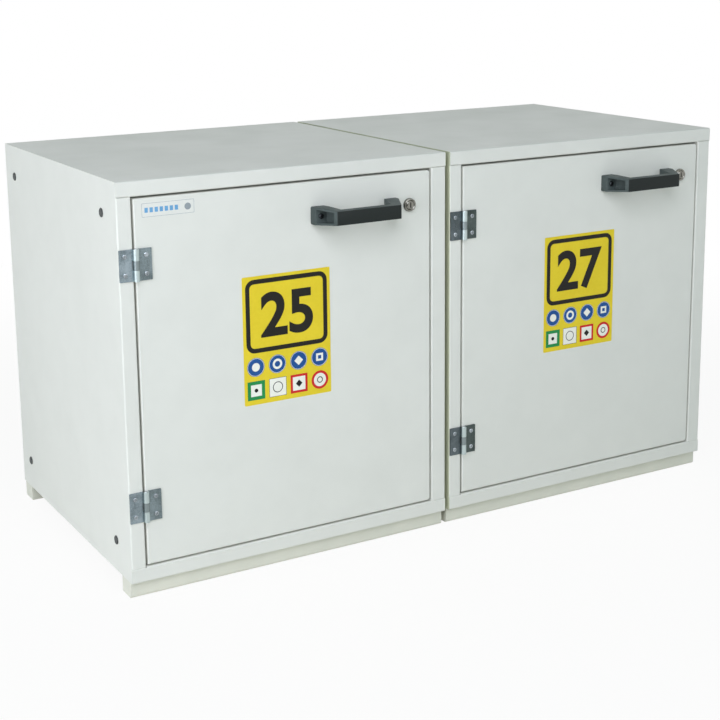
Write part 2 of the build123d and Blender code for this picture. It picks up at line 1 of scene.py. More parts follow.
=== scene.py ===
"""Looks of a joined pair of underbench cabinets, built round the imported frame.

Everything is in metres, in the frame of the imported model: +Z is up, the doors face -Y, and the
origin lies on the floor under the middle of the pair. The sheet metal, the hinge leaves and the
label films keep the shape that they have in the frame and get a finish here. The handles, locks,
screws, plugs and seals are modelled again with the detail that shows close up. The labels get
their print, and the left door gets a small plate.
"""

import logging
import math
from dataclasses import dataclass
from enum import Enum
from typing import Callable, Iterable, Optional, Sequence, Union

import bmesh
import bpy
from mathutils import Matrix, Vector


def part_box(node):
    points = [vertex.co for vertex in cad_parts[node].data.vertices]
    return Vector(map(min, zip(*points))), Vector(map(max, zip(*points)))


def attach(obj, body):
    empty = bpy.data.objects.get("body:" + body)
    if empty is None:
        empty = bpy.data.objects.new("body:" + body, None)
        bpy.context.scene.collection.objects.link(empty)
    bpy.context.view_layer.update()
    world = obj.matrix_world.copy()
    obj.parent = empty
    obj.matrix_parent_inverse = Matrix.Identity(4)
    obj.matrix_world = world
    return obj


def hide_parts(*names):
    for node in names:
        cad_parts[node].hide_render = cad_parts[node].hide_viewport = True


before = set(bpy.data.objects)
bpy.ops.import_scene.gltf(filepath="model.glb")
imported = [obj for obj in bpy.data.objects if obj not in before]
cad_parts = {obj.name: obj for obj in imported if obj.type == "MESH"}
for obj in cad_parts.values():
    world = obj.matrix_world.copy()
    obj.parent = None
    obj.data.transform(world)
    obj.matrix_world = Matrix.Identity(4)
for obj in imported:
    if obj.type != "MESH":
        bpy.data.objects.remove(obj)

logging.basicConfig(level=logging.INFO, format="%(message)s")
log = logging.getLogger("cabinets")

MM = 0.001
CABINETS = ("left", "right")
OUTWARD = Vector((0.0, -1.0, 0.0))
SMOOTH_ANGLE = math.radians(32.0)
NEAR = 1e-5
MERGE = 1e-6
FINE_MERGE = 1e-7
PLATE_STEPS = 6

Screen = tuple[int, int, int]
Point = tuple[float, float]
Triple = tuple[float, float, float]
Node = bpy.types.Node
Socket = bpy.types.NodeSocket
Value = Union[Socket, float, Sequence[float]]
Mesh = bmesh.types.BMesh
Face = bmesh.types.BMFace
Edge = bmesh.types.BMEdge
Vert = bmesh.types.BMVert


def linear(*channels: int) -> Triple:
    """Turns an eight-bit screen colour into linear light.

    Args:
        *channels: Red, green and blue, each from 0 to 255.

    Returns:
        The colour in linear light.
    """
    shares = (value / 255.0 for value in channels)
    return tuple(s / 12.92 if s <= 0.04045 else ((s + 0.055) / 1.055) ** 2.4 for s in shares)


# Node graphs

@dataclass
class Graph:
    """A node tree with short calls to add, feed and combine nodes."""

    tree: bpy.types.NodeTree

    def add(self, kind: str, **settings: object) -> Node:
        """Adds one node.

        Args:
            kind: Blender's name of the node type.
            **settings: Properties to set on the node.

        Returns:
            The new node.
        """
        node = self.tree.nodes.new(kind)
        for name, value in settings.items():
            setattr(node, name, value)
        return node

    def feed(self, target: Socket, value: Value) -> None:
        """Joins a socket to an input, or sets the input to a fixed value.

        Args:
            target: The input.
            value: Socket, number, vector or linear colour.
        """
        if isinstance(value, Socket):
            self.tree.links.new(value, target)
        else:
            target.default_value = (*value, 1.0) if target.type == "RGBA" else value

    def maths(self, operation: str, first: Value, second: Value, clamp: bool = False) -> Socket:
        """Combines two values.

        Args:
            operation: Name of the operation.
            first: Socket or number.
            second: Socket or number.
            clamp: Whether the result stays between 0 and 1.

        Returns:
            The result's socket.
        """
        node = self.add("ShaderNodeMath", operation=operation, use_clamp=clamp)
        self.feed(node.inputs[0], first)
        self.feed(node.inputs[1], second)
        return node.outputs[0]

    def times(self, first: Value, second: Value) -> Socket:
        """The product of two values."""
        return self.maths("MULTIPLY", first, second)

    def noise(
        self, where: Socket, scale: Value, detail: float = 2.0, roughness: float = 0.5,
    ) -> Socket:
        """Adds a noise texture.

        Args:
            where: Socket of the coordinates.
            scale: Scale of the pattern.
            detail: Octaves of the noise.
            roughness: Weight of the finer octaves.

        Returns:
            The socket of the noise value.
        """
        node = self.add("ShaderNodeTexNoise")
        values = {"Vector": where, "Scale": scale, "Detail": detail, "Roughness": roughness}
        for name, value in values.items():
            self.feed(node.inputs[name], value)
        return node.outputs["Fac"]

    def cells(self, where: Socket, scale: Value, feature: str) -> Socket:
        """Adds a cell texture.

        Args:
            where: Socket of the coordinates.
            scale: Scale of the pattern.
            feature: What is measured in each cell.

        Returns:
            The socket of the distance.
        """
        node = self.add("ShaderNodeTexVoronoi", feature=feature)
        self.feed(node.inputs["Vector"], where)
        self.feed(node.inputs["Scale"], scale)
        return node.outputs["Distance"]

    def remap(self, value: Socket, source: Point, target: Sequence[Value]) -> Socket:
        """Maps a range of values onto another, smoothly at both ends.

        Args:
            value: Socket of the value.
            source: Lowest and highest value that counts.
            target: The two results, as numbers or sockets.

        Returns:
            The result's socket.
        """
        node = self.add("ShaderNodeMapRange", interpolation_type="SMOOTHSTEP")
        names = ("Value", "From Min", "From Max", "To Min", "To Max")
        for name, given in zip(names, (value, *source, *target)):
            self.feed(node.inputs[name], given)
        return node.outputs["Result"]

    def blend(self, factor: Socket, first: Value, second: Value) -> Socket:
        """Mixes two colours.

        Args:
            factor: Socket of the second colour's share.
            first: Socket or linear colour.
            second: Socket or linear colour.

        Returns:
            The socket of the mixed colour.
        """
        node = self.add("ShaderNodeMix", data_type="RGBA")
        self.feed(node.inputs["Factor"], factor)
        sockets = [s for s in node.inputs if s.type == "RGBA"]
        for target, colour in zip(sockets, (first, second)):
            self.feed(target, colour)
        return [s for s in node.outputs if s.type == "RGBA"][0]

    def along(self, where: Socket, axis: str) -> Socket:
        """One coordinate of a place.

        Args:
            where: Socket of the coordinates.
            axis: X, Y or Z.

        Returns:
            The coordinate's socket.
        """
        node = self.add("ShaderNodeSeparateXYZ")
        self.feed(node.inputs[0], where)
        return node.outputs[axis]

    def stretched(self, where: Socket, scale: Triple) -> Socket:
        """Stretches coordinates so that a pattern runs in lines.

        Args:
            where: Socket of the coordinates.
            scale: Scale along each axis.

        Returns:
            The socket of the stretched coordinates.
        """
        node = self.add("ShaderNodeMapping")
        self.feed(node.inputs["Scale"], scale)
        self.feed(node.inputs["Vector"], where)
        return node.outputs["Vector"]

    def mix_to_output(self, output: str, factor: Socket, first: Socket, second: Socket) -> None:
        """Sends a mix of two shaders to the tree's output.

        Args:
            output: Name of the output node.
            factor: Share of the second shader.
            first: Socket of the first shader.
            second: Socket of the second shader.
        """
        mix = self.add("ShaderNodeMixShader")
        for target, source in zip(mix.inputs, (factor, first, second)):
            self.feed(target, source)
        self.feed(self.tree.nodes[output].inputs["Surface"], mix.outputs[0])


# Shared effects

class Effect(Enum):
    """Shader effects that several finishes share, each one node group."""

    MOTTLE = "soft_mottle"
    PEEL = "orange_peel"
    GRAIN = "moulded_grain"
    BRUSHING = "brushed_lines"
    SCUFFS = "handling_scuffs"


class EffectGroup(Graph):
    """The node group of one shared effect, filled when it is made."""

    NUMBER = "NodeSocketFloat"
    COLOUR = "NodeSocketColor"
    VECTOR = "NodeSocketVector"

    def __init__(self, effect: Effect) -> None:
        """Makes and fills the group.

        Args:
            effect: Which effect.
        """
        super().__init__(bpy.data.node_groups.new(effect.value, "ShaderNodeTree"))
        fillers: dict[Effect, Callable[[], None]] = {
            Effect.MOTTLE: self.soft_mottle,
            Effect.PEEL: self.orange_peel,
            Effect.GRAIN: self.moulded_grain,
            Effect.BRUSHING: self.brushed_lines,
            Effect.SCUFFS: self.handling_scuffs,
        }
        fillers[effect]()

    def takes(self, **kinds: str) -> list[Socket]:
        """Opens the group's inputs, after a vector for the coordinates.

        Args:
            **kinds: Socket type of each input, with underscores for spaces in its name.

        Returns:
            Their sockets inside the group, the vector's first.
        """
        given = {"Vector": self.VECTOR}
        given.update((name.replace("_", " "), kind) for name, kind in kinds.items())
        for name, kind in given.items():
            self.tree.interface.new_socket(name, in_out="INPUT", socket_type=kind)
        outputs = self.add("NodeGroupInput").outputs
        return [outputs[name] for name in given]

    def gives(self, kind: str, **values: Socket) -> None:
        """Opens the group's outputs and joins each to its value.

        Args:
            kind: Socket type of the outputs.
            **values: What each output gives.
        """
        for name in values:
            self.tree.interface.new_socket(name, in_out="OUTPUT", socket_type=kind)
        inputs = self.add("NodeGroupOutput").inputs
        for name, value in values.items():
            self.feed(inputs[name], value)

    def takes_relief(self) -> list[Socket]:
        """Opens the inputs of an effect that gives a relief and its uneven gloss."""
        return self.takes(Scale=self.NUMBER, Rough_Low=self.NUMBER, Rough_High=self.NUMBER)

    def soft_mottle(self) -> None:
        """Slow drift between two near colours, with a finer cloud over it."""
        where, scale, first, second = self.takes(
            Scale=self.NUMBER, Colour_A=self.COLOUR, Colour_B=self.COLOUR,
        )
        broad = self.times(self.noise(where, scale, 3.0), 0.65)
        fine = self.times(self.noise(where, self.times(scale, 9.0)), 0.35)
        mask = self.remap(self.maths("ADD", broad, fine), (0.32, 0.68), (0.0, 1.0))
        self.gives(self.COLOUR, Colour=self.blend(mask, first, second))

    def orange_peel(self) -> None:
        """Rolling surface of a sprayed powder coat, with uneven gloss."""
        where, scale, *rough = self.takes_relief()
        peel = self.noise(where, scale, 1.0, 0.4)
        grit = self.times(self.noise(where, self.times(scale, 4.5), 1.0), 0.22)
        gloss = self.noise(where, self.times(scale, 0.02), 4.0)
        height = self.maths("ADD", peel, grit)
        self.gives(self.NUMBER, Height=height, Roughness=self.remap(gloss, (0.3, 0.7), rough))

    def moulded_grain(self) -> None:
        """Pebbled grain of moulded plastic, with slight gloss changes."""
        where, scale, *rough = self.takes_relief()
        pebbles = self.cells(where, scale, "SMOOTH_F1")
        self.feed(pebbles.node.inputs["Smoothness"], 0.6)
        fine = self.times(self.noise(where, self.times(scale, 2.5)), 0.4)
        rub = self.noise(where, self.times(scale, 0.03), 3.0)
        height = self.maths("ADD", pebbles, fine)
        self.gives(self.NUMBER, Height=height, Roughness=self.remap(rub, (0.3, 0.7), rough))

    def brushed_lines(self) -> None:
        """Fine rolling lines of plated sheet, drawn out along one direction by the caller."""
        where, scale, *rough = self.takes_relief()
        lines = self.noise(where, scale, 5.0, 0.65)
        self.gives(self.NUMBER, Height=lines, Roughness=self.remap(lines, (0.25, 0.75), rough))

    def handling_scuffs(self) -> None:
        """Sparse light scuffs and specks left by handling."""
        where, scale, amount = self.takes(Scale=self.NUMBER, Amount=self.NUMBER)
        warp = self.noise(where, scale).node.outputs["Color"]
        bend = self.add("ShaderNodeVectorMath", operation="MULTIPLY_ADD")
        for target, value in zip(bend.inputs, (warp, (0.02, 0.02, 0.02), where)):
            self.feed(target, value)
        cracks = self.cells(bend.outputs["Vector"], self.times(scale, 2.0), "DISTANCE_TO_EDGE")
        thin = self.remap(cracks, (0.0, 0.03), (1.0, 0.0))
        patch = self.remap(self.noise(where, scale, 4.0), (0.52, 0.68), (0.0, 1.0))
        mask = self.maths("MULTIPLY", self.times(thin, patch), amount, clamp=True)
        self.gives(self.NUMBER, Mask=mask)


effect_groups: dict[Effect, EffectGroup] = {}


def place_effect(graph: Graph, effect: Effect, where: Socket, **values: Value) -> Node:
    """Adds a shared effect to a material.

    Args:
        graph: The material's graph.
        effect: Which effect.
        where: Socket of the coordinates.
        **values: The group's inputs, with underscores for spaces.

    Returns:
        The group node.
    """
    if effect not in effect_groups:
        effect_groups[effect] = EffectGroup(effect)
    node = graph.add("ShaderNodeGroup", node_tree=effect_groups[effect].tree)
    graph.feed(node.inputs["Vector"], where)
    for name, value in values.items():
        graph.feed(node.inputs[name.replace("_", " ")], value)
    return node


# Finishes

made_materials: dict[str, bpy.types.Material] = {}


@dataclass(frozen=True)
class Finish:
    """A finish that pieces share, made into one material when it is first used.

    Attributes:
        name: Name of the material.
        slot: The record's material slot that this finish follows; not used.
        pale: Its paler tone, as a screen colour.
        deep: Its deeper tone.
        mottle_scale: Scale of the drift between the tones.
        rough: Lowest and highest roughness.
        gloss: Level of its mirror reflection.
        metallic: 1 for metal and 0 for all else.
        relief: The effect that gives its fine relief.
        relief_scale: Scale of the relief's pattern.
        relief_depth: Real depth of the relief.
        relief_strength: Share of the relief that shows.
        stretch: Scale of the relief's coordinates along each axis, or None.
        scuffs: Amount of handling scuffs, or 0 for none.
        scuff_scale: Scale of the scuffs' pattern.
        scuff_gain: How much brighter than the paler tone a scuff is.
        scuff_lift: What is added to that.
    """

    name: str
    slot: str
    pale: Screen
    deep: Screen
    mottle_scale: float = 24.0
    rough: Point = (0.34, 0.44)
    gloss: float = 0.5
    metallic: float = 0.0
    relief: Effect = Effect.PEEL
    relief_scale: float = 240.0
    relief_depth: float = 0.03 * MM
    relief_strength: float = 0.35
    stretch: Optional[Triple] = None
    scuffs: float = 0.0
    scuff_scale: float = 60.0
    scuff_gain: float = 1.0
    scuff_lift: float = 0.0

    def material(self) -> bpy.types.Material:
        """Makes the material of this finish on first use.

        Returns:
            The material.
        """
        if self.name not in made_materials:
            made = bpy.data.materials.new(self.name)
            made.use_nodes = True
            made_materials[self.name] = made
            graph = Graph(made.node_tree)
            where = graph.add("ShaderNodeTexCoord").outputs["Object"]
            self.build(graph, made.node_tree.nodes["Principled BSDF"].inputs, where)
        return made_materials[self.name]

    def build(self, graph: Graph, shader: bpy.types.NodeInputs, where: Socket) -> None:
        """Joins tones, scuffs and relief to the shader.

        Args:
            graph: The material's graph.
            shader: Inputs of the surface shader.
            where: Socket of the coordinates.
        """
        graph.feed(shader["Specular IOR Level"], self.gloss)
        graph.feed(shader["Metallic"], self.metallic)
        pale, deep = linear(*self.pale), linear(*self.deep)
        tone = place_effect(
            graph, Effect.MOTTLE, where, Scale=self.mottle_scale, Colour_A=pale, Colour_B=deep,
        )
        colour = tone.outputs["Colour"]
        if self.scuffs > 0.0:
            scuff = place_effect(
                graph, Effect.SCUFFS, where, Scale=self.scuff_scale, Amount=self.scuffs,
            )
            bright = [min(1.0, channel * self.scuff_gain + self.scuff_lift) for channel in pale]
            colour = graph.blend(scuff.outputs["Mask"], colour, bright)
        graph.feed(shader["Base Color"], colour)
        drawn = graph.stretched(where, self.stretch) if self.stretch else where
        low, high = self.rough
        relief = place_effect(
            graph, self.relief, drawn, Scale=self.relief_scale, Rough_Low=low, Rough_High=high,
        )
        graph.feed(shader["Roughness"], relief.outputs["Roughness"])
        bump = graph.add("ShaderNodeBump")
        graph.feed(bump.inputs["Distance"], self.relief_depth)
        graph.feed(bump.inputs["Strength"], self.relief_strength)
        graph.feed(bump.inputs["Height"], relief.outputs["Height"])
        graph.feed(shader["Normal"], bump.outputs["Normal"])

    @staticmethod
    def repaint(graph: Graph, shader: bpy.types.NodeInputs, mask: Socket, colour: Screen) -> None:
        """Blends a colour over the base colour.

        Args:
            graph: The material's graph.
            shader: Inputs of the surface shader.
            mask: Socket that is 1 where the colour shows.
            colour: The colour.
        """
        base = shader["Base Color"]
        graph.feed(base, graph.blend(mask, base.links[0].from_socket, linear(*colour)))


@dataclass(frozen=True)
class PowderCoat(Finish):
    """Epoxy powder coat on folded sheet steel: mottled colour with orange peel."""

    pale: Screen = (224, 224, 215)
    deep: Screen = (219, 219, 210)
    mottle_scale: float = 2.6
    rough: Point = (0.32, 0.40)
    gloss: float = 0.22
    relief_scale: float = 620.0
    relief_depth: float = 0.07 * MM
    relief_strength: float = 0.30


@dataclass(frozen=True)
class CaseCoat(PowderCoat):
    """Powder coat of the cases, with olive shade painted on the walls that face each other in the
    gap.

    Attributes:
        thin: Olive colour painted on those walls as shade.
        gap_half: Distance of those walls from the middle of the pair.
        gap_fade: Width over which the painted shade ends.
    """

    thin: Screen = (200, 203, 176)
    gap_half: float = 4.3 * MM
    gap_fade: float = 0.6 * MM

    def build(self, graph: Graph, shader: bpy.types.NodeInputs, where: Socket) -> None:
        """Joins the usual coat to the shader, with painted shade on the walls in the gap.

        Args:
            graph: The material's graph.
            shader: Inputs of the surface shader.
            where: Socket of the coordinates.
        """
        super().build(graph, shader, where)
        from_middle = graph.maths("ABSOLUTE", graph.along(where, "X"), 0.0)
        mask = graph.remap(from_middle, (self.gap_half, self.gap_half + self.gap_fade), (1.0, 0.0))
        # Painted shade: the olive colour goes on the walls that face each other in the gap.
        self.repaint(graph, shader, mask, self.thin)


@dataclass(frozen=True)
class PlatedSteel(Finish):
    """Zinc or nickel plated steel with rolling lines and a few pale scuffs."""

    mottle_scale: float = 55.0
    rough: Point = (0.24, 0.44)
    metallic: float = 1.0
    relief: Effect = Effect.BRUSHING
    relief_scale: float = 260.0
    stretch: Optional[Triple] = (1.0, 1.0, 0.12)
    scuffs: float = 0.6
    scuff_scale: float = 90.0
    scuff_gain: float = 1.35


@dataclass(frozen=True)
class MouldedPlastic(Finish):
    """Moulded plastic with a fine pebbled grain and faint scuffs."""

    mottle_scale: float = 30.0
    rough: Point = (0.40, 0.52)
    gloss: float = 0.42
    relief: Effect = Effect.GRAIN
    relief_scale: float = 900.0
    relief_depth: float = 0.04 * MM
    scuffs: float = 0.10
    scuff_gain: float = 1.8
    scuff_lift: float = 0.02


@dataclass(frozen=True)
class FrontTone:
    """Another colour on whatever stands in front of a plane, used for painted highlights and
    painted shade.

    Attributes:
        front: The colour.
        front_y: Where it begins, along Y.
        front_fade: Depth over which it sets in.
    """

    front: Screen
    front_y: float
    front_fade: float

    def mask(self, graph: Graph, where: Socket) -> Socket:
        """Mask of what stands in front of the plane."""
        edge = (self.front_y - self.front_fade, self.front_y)
        return graph.remap(graph.along(where, "Y"), edge, (1.0, 0.0))


@dataclass(frozen=True)
class HingePlating(PlatedSteel):
    """Plated hinge leaf whose turned barrel gets its own tone, painted light that stands in for the
    highlight on the knuckles.

    Attributes:
        barrel: Painted light tone of the barrel, which stands in front of the leaf.
    """

    # Painted highlight: the outer barrels are painted brighter than the leaf.
    barrel: FrontTone = FrontTone((178, 192, 191), -233.4 * MM, 0.3 * MM)

    def build(self, graph: Graph, shader: bpy.types.NodeInputs, where: Socket) -> None:
        """Streaked leaf with the barrel's painted light tone, with the arguments of every finish.
        """
        super().build(graph, shader, where)
        # Painted light: the barrel's tone goes over the leaf's colour.
        self.repaint(graph, shader, self.barrel.mask(graph, where), self.barrel.front)


@dataclass(frozen=True)
class GripPlastic(MouldedPlastic):
    """Moulded plastic whose foremost faces carry painted shade, a darker tone on the bar's front.

    Attributes:
        front_shade: Painted shade on the foremost faces.
    """

    front_shade: FrontTone = FrontTone((27, 33, 31), -277.4 * MM, 0.8 * MM)

    def build(self, graph: Graph, shader: bpy.types.NodeInputs, where: Socket) -> None:
        """Grained plastic with painted shade on the front faces, with the arguments of every
        finish.
        """
        super().build(graph, shader, where)
        # Painted shade: the foremost faces get the darker tone.
        self.repaint(graph, shader, self.front_shade.mask(graph, where), self.front_shade.front)


@dataclass(frozen=True)
class PrintedFilm(Finish):
    """Adhesive film or the even ink on it, with a faint film texture."""

    gloss: float = 0.2
    relief_strength: float = 0.25


# The case coat carries painted shade on the walls in the gap between the cabinets.
CASE_PAINT = CaseCoat("case_powder_coat", "painted_case")
DOOR_PAINT = PowderCoat("door_powder_coat", "painted_door")
PLINTH_PAINT = PowderCoat("rail_powder_coat", "painted_plinth", (219, 218, 203), (211, 211, 196))
SHELF_PAINT = PowderCoat("shelf_powder_coat", "shelf_paint", relief_depth=0.04 * MM)
# Painted shade: the right cabinet's frame leaves are a darker copy of the left ones, standing in
# for their darker reflections.
FRAME_LEAF_ZINC_LIT_AND_SHADED = {
    "left": HingePlating("left_frame_leaf_plating", "hinge_zinc", (148, 162, 168), (108, 121, 126)),
    "right": HingePlating("right_frame_leaf_plating", "hinge_zinc", (98, 108, 112), (76, 85, 87)),
}
# Painted light on the middle knuckle of the door leaves: a dimmer tone than the outer barrels'
# painted highlight.
MIDDLE_KNUCKLE_PAINTED_LIGHT = FrontTone((130, 141, 142), -233.4 * MM, 0.3 * MM)
# Painted shade: the right door leaf is a darker copy of the left one, standing in for its darker
# reflections.
DOOR_LEAF_ZINC_LIT_AND_SHADED = {
    cabinet: HingePlating(
        f"{cabinet}_door_leaf_plating", "hinge_zinc", pale, deep, barrel=MIDDLE_KNUCKLE_PAINTED_LIGHT,
    )
    for cabinet, pale, deep in (
        ("left", (132, 146, 150), (98, 110, 112)),
        ("right", (84, 94, 92), (64, 74, 72)),
    )
}
PIN_STEEL = PlatedSteel(
    "bright_pin", "pin_steel", (212, 218, 220), (186, 192, 194), rough=(0.16, 0.28), scuffs=0.2,
)
SCREW_ZINC = PlatedSteel(
    "screw_plating", "screw_zinc", (172, 180, 184), (128, 136, 140), rough=(0.18, 0.32), scuffs=0.3,
)
# Painted shade: the handle's screws are coloured dark for the shade in the screw pockets.
HANDLE_SCREW_SHADED = PlatedSteel(
    "pocket_shaded_screw", "screw_zinc", (66, 70, 72), (50, 54, 56), rough=(0.34, 0.50), scuffs=0.2,
)
LOCK_NICKEL = PlatedSteel(
    "satin_nickel", "lock_nickel", (150, 150, 142), (112, 112, 106), rough=(0.16, 0.30), scuffs=0.3,
)
CAM_STEEL = PlatedSteel("cam_plating", "cam_steel", (196, 198, 196), (172, 174, 172))
STRIP_ZINC = PlatedSteel("strip_plating", "strip_zinc", (192, 196, 198), (168, 173, 176))
SPACER_STEEL = PlatedSteel("spacer_plating", "spacer_steel", (150, 152, 150), (126, 128, 124))
# Its foremost faces carry painted shade.
HANDLE_PLASTIC = GripPlastic("black_nylon", "handle_plastic", (75, 84, 82), (66, 75, 73), gloss=0.2)
PLUG_PLASTIC = MouldedPlastic("black_polyethylene", "plug_plastic", (60, 64, 62), (42, 46, 44))
SEAL_RUBBER = MouldedPlastic(
    "black_foam_rubber", "seal_rubber", (52, 53, 52), (42, 43, 42), rough=(0.62, 0.78),
)
SUMP_PLASTIC = MouldedPlastic(
    "grey_polypropylene", "sump_plastic", (209, 210, 201), (201, 203, 194),
    rough=(0.42, 0.55), relief_scale=500.0,
)
# Painted shade: near-black colour for the walls and floor of the key slot.
KEYHOLE_SHADE = MouldedPlastic("keyhole_painted_shade", "lock_nickel", (24, 24, 23), (18, 18, 17))
LABEL_FILM = PrintedFilm("yellow_film", "label_film", (230, 206, 50), (224, 199, 44))
PLATE_FILM = PrintedFilm("plate_film", "label_film", (226, 226, 218), (220, 221, 213))
BLACK_INK = PrintedFilm("black_ink", "label_film", (28, 27, 22), (22, 21, 18))
WHITE_INK = PrintedFilm("white_ink", "label_film", (241, 240, 228), (236, 235, 223))
RED_INK = PrintedFilm("red_ink", "label_film", (206, 40, 40), (198, 34, 36))
GREEN_INK = PrintedFilm("green_ink", "label_film", (36, 140, 76), (30, 132, 70))
BLUE_INK = PrintedFilm("blue_ink", "label_film", (34, 84, 146), (28, 76, 138))
GREY_INK = PrintedFilm("grey_ink", "label_film", (150, 158, 160), (142, 150, 153))
SKY_INK = PrintedFilm("sky_ink", "label_film", (112, 166, 206), (102, 157, 199))


# Objects

def linked(name: str, data: bpy.types.ID) -> bpy.types.Object:
    """Puts an object with the given data into the scene.

    Args:
        name: Name of the object.
        data: Its mesh, curve, light or camera.

    Returns:
        The new object.
    """
    made = bpy.data.objects.new(name, data)
    bpy.context.scene.collection.objects.link(made)
    return made


def finished_piece(
    source: Mesh, name: str, body: str, finish: Finish, *nodes: str, smooth: bool = True,
) -> bpy.types.Object:
    """Turns a finished mesh into a named piece that rides on a body.

    Args:
        source: The mesh, in the row frame; it is freed here.
        name: Name of the piece.
        body: Body that it moves with.
        finish: Its finish.
        *nodes: Nodes of the frame that it replaces.
        smooth: Whether its curved faces are shaded smooth.

    Returns:
        The new object.
    """
    bmesh.ops.recalc_face_normals(source, faces=source.faces)
    mesh = bpy.data.meshes.new(name)
    source.to_mesh(mesh)
    source.free()
    if smooth:
        mesh.shade_smooth()
        mesh.set_sharp_from_angle(angle=SMOOTH_ANGLE)
    mesh.materials.append(finish.material())
    piece = linked(name, mesh)
    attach(piece, body)
    if nodes:
        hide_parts(*nodes)
    log.info("piece %s on %s, %d faces", name, body, len(mesh.polygons))
    return piece


def dress(node: str, finish: Finish) -> None:
    """Gives a node of the frame its finish and keeps its shape.

    Args:
        node: Name of the node.
        finish: Its finish.
    """
    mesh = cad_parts[node].data
    mesh.materials.clear()
    mesh.materials.append(finish.material())
    log.info("node %s gets %s", node, finish.name)


# Mesh making

def rounded(
    source: Mesh,
    parts: Iterable[Union[Edge, Vert]],
    radius: float,
    segments: int,
    affect: str = "EDGES",
) -> None:
    """Rounds edges of a mesh or corners of a flat face.

    Args:
        source: The mesh.
        parts: The edges or corners.
        radius: Width of the rounding.
        segments: Steps across it.
        affect: EDGES or VERTICES, as the parts are.
    """
    bmesh.ops.bevel(
        source,
        geom=list(parts),
        offset=radius,
        offset_type="OFFSET",
        affect=affect,
        segments=segments,
        profile=0.5,
        material=-1,
        clamp_overlap=affect == "EDGES",
    )


def thickened(source: Mesh, faces: Iterable[Face], move: Vector) -> list[Face]:
    """Extrudes faces along a move.

    Args:
        source: The mesh.
        faces: The faces to extrude.
        move: Direction and length.

    Returns:
        The moved copies of the faces.
    """
    made = bmesh.ops.extrude_face_region(source, geom=list(faces), use_keep_orig=True)["geom"]
    bmesh.ops.translate(source, vec=move, verts=[g for g in made if isinstance(g, Vert)])
    return [g for g in made if isinstance(g, Face)]


def flat_outline(source: Mesh, corners: Iterable[Vector]) -> Face:
    """One flat face through a few corners."""
    return source.faces.new([source.verts.new(corner) for corner in corners])


def flat_frame(x: Point, y: float, z: Point, corner: float, segments: int, hollow: float) -> Mesh:
    """An upright rectangle with rounded corners, full or hollow, without thickness.

    Args:
        x: Its left and right edge.
        y: Where it lies.
        z: Its lower and upper edge.
        corner: Radius of its corners, or 0 for sharp ones.
        segments: Steps in each corner.
        hollow: Width of the frame, or 0 for a full rectangle.

    Returns:
        Its mesh.
    """
    flat = bmesh.new()
    flat_outline(flat, (Vector((x[i], y, z[j])) for i, j in ((0, 0), (1, 0), (1, 1), (0, 1))))
    if corner > 0.0:
        rounded(flat, flat.verts, corner, segments, "VERTICES")
    flat.normal_update()
    if hollow > 0.0:
        inner = list(flat.faces)
        bmesh.ops.inset_region(
            flat, faces=inner, thickness=hollow, use_even_offset=True, use_boundary=True,
        )
        bmesh.ops.delete(flat, geom=inner, context="FACES_ONLY")
    return flat


def thin_plate(
    x: Point, z: Point, back: float, thickness: float, corner: float = 0.0, hollow: float = 0.0,
) -> Mesh:
    """A thin plate or frame that lies on a front.

    Args:
        x: Its left and right edge.
        z: Its lower and upper edge.
        back: Where its back lies.
        thickness: How far it stands out.
        corner: Radius of its corners.
        hollow: Width of the frame, or 0 for a full plate.

    Returns:
        Its mesh.
    """
    plate = flat_frame(x, back, z, corner, PLATE_STEPS, hollow)
    thickened(plate, list(plate.faces), OUTWARD * thickness)
    return plate


def turned(
    source: Mesh, centre: Vector, axis: Vector, profile: Sequence[Point], steps: int,
) -> None:
    """Spins a profile round an axis into the mesh.

    Args:
        source: The mesh that gets the turned shape.
        centre: A point on the axis, where the profile's height is 0.
        axis: Direction of the axis.
        profile: Radius and height of each point, in order.
        steps: Number of steps round the axis.
    """
    side = axis.orthogonal().normalized()
    chain = [source.verts.new(centre + side * radius + axis * height) for radius, height in profile]
    edges = [source.edges.new(pair) for pair in zip(chain, chain[1:])]
    bmesh.ops.spin(
        source,
        geom=chain + edges,
        cent=centre,
        axis=axis,
        angle=2.0 * math.pi,
        steps=steps,
        use_merge=True,
        use_duplicate=False,
    )
    bmesh.ops.remove_doubles(source, verts=source.verts, dist=MERGE)


def round_print(
    centre: Vector, outer: float, inner: float, thickness: float, steps: int = 48,
) -> Mesh:
    """A thin disc or ring that lies on a front.

    Args:
        centre: Middle of its back.
        outer: Outer radius.
        inner: Inner radius, or 0 for a full disc.
        thickness: How far it stands out.
        steps: Steps round it.

    Returns:
        Its mesh.
    """
    source = bmesh.new()
    profile = [(inner, 0.0), (outer, 0.0), (outer, thickness), (inner, thickness)]
    if inner > 0.0:
        profile.append(profile[0])
    turned(source, centre, OUTWARD, profile, steps)
    return source


def joined(target: Mesh, part: Mesh) -> None:
    """Adds one mesh to another and frees it.

    Args:
        target: The mesh that grows.
        part: The mesh that is added.
    """
    carrier = bpy.data.meshes.new("carrier")
    part.to_mesh(carrier)
    part.free()
    target.from_mesh(carrier)
    bpy.data.meshes.remove(carrier)


def extent(verts: Iterable[Vert]) -> tuple[Vector, Vector]:
    """Lowest and highest corner of some vertices."""
    axes = list(zip(*(vert.co for vert in verts)))
    return Vector([min(axis) for axis in axes]), Vector([max(axis) for axis in axes])


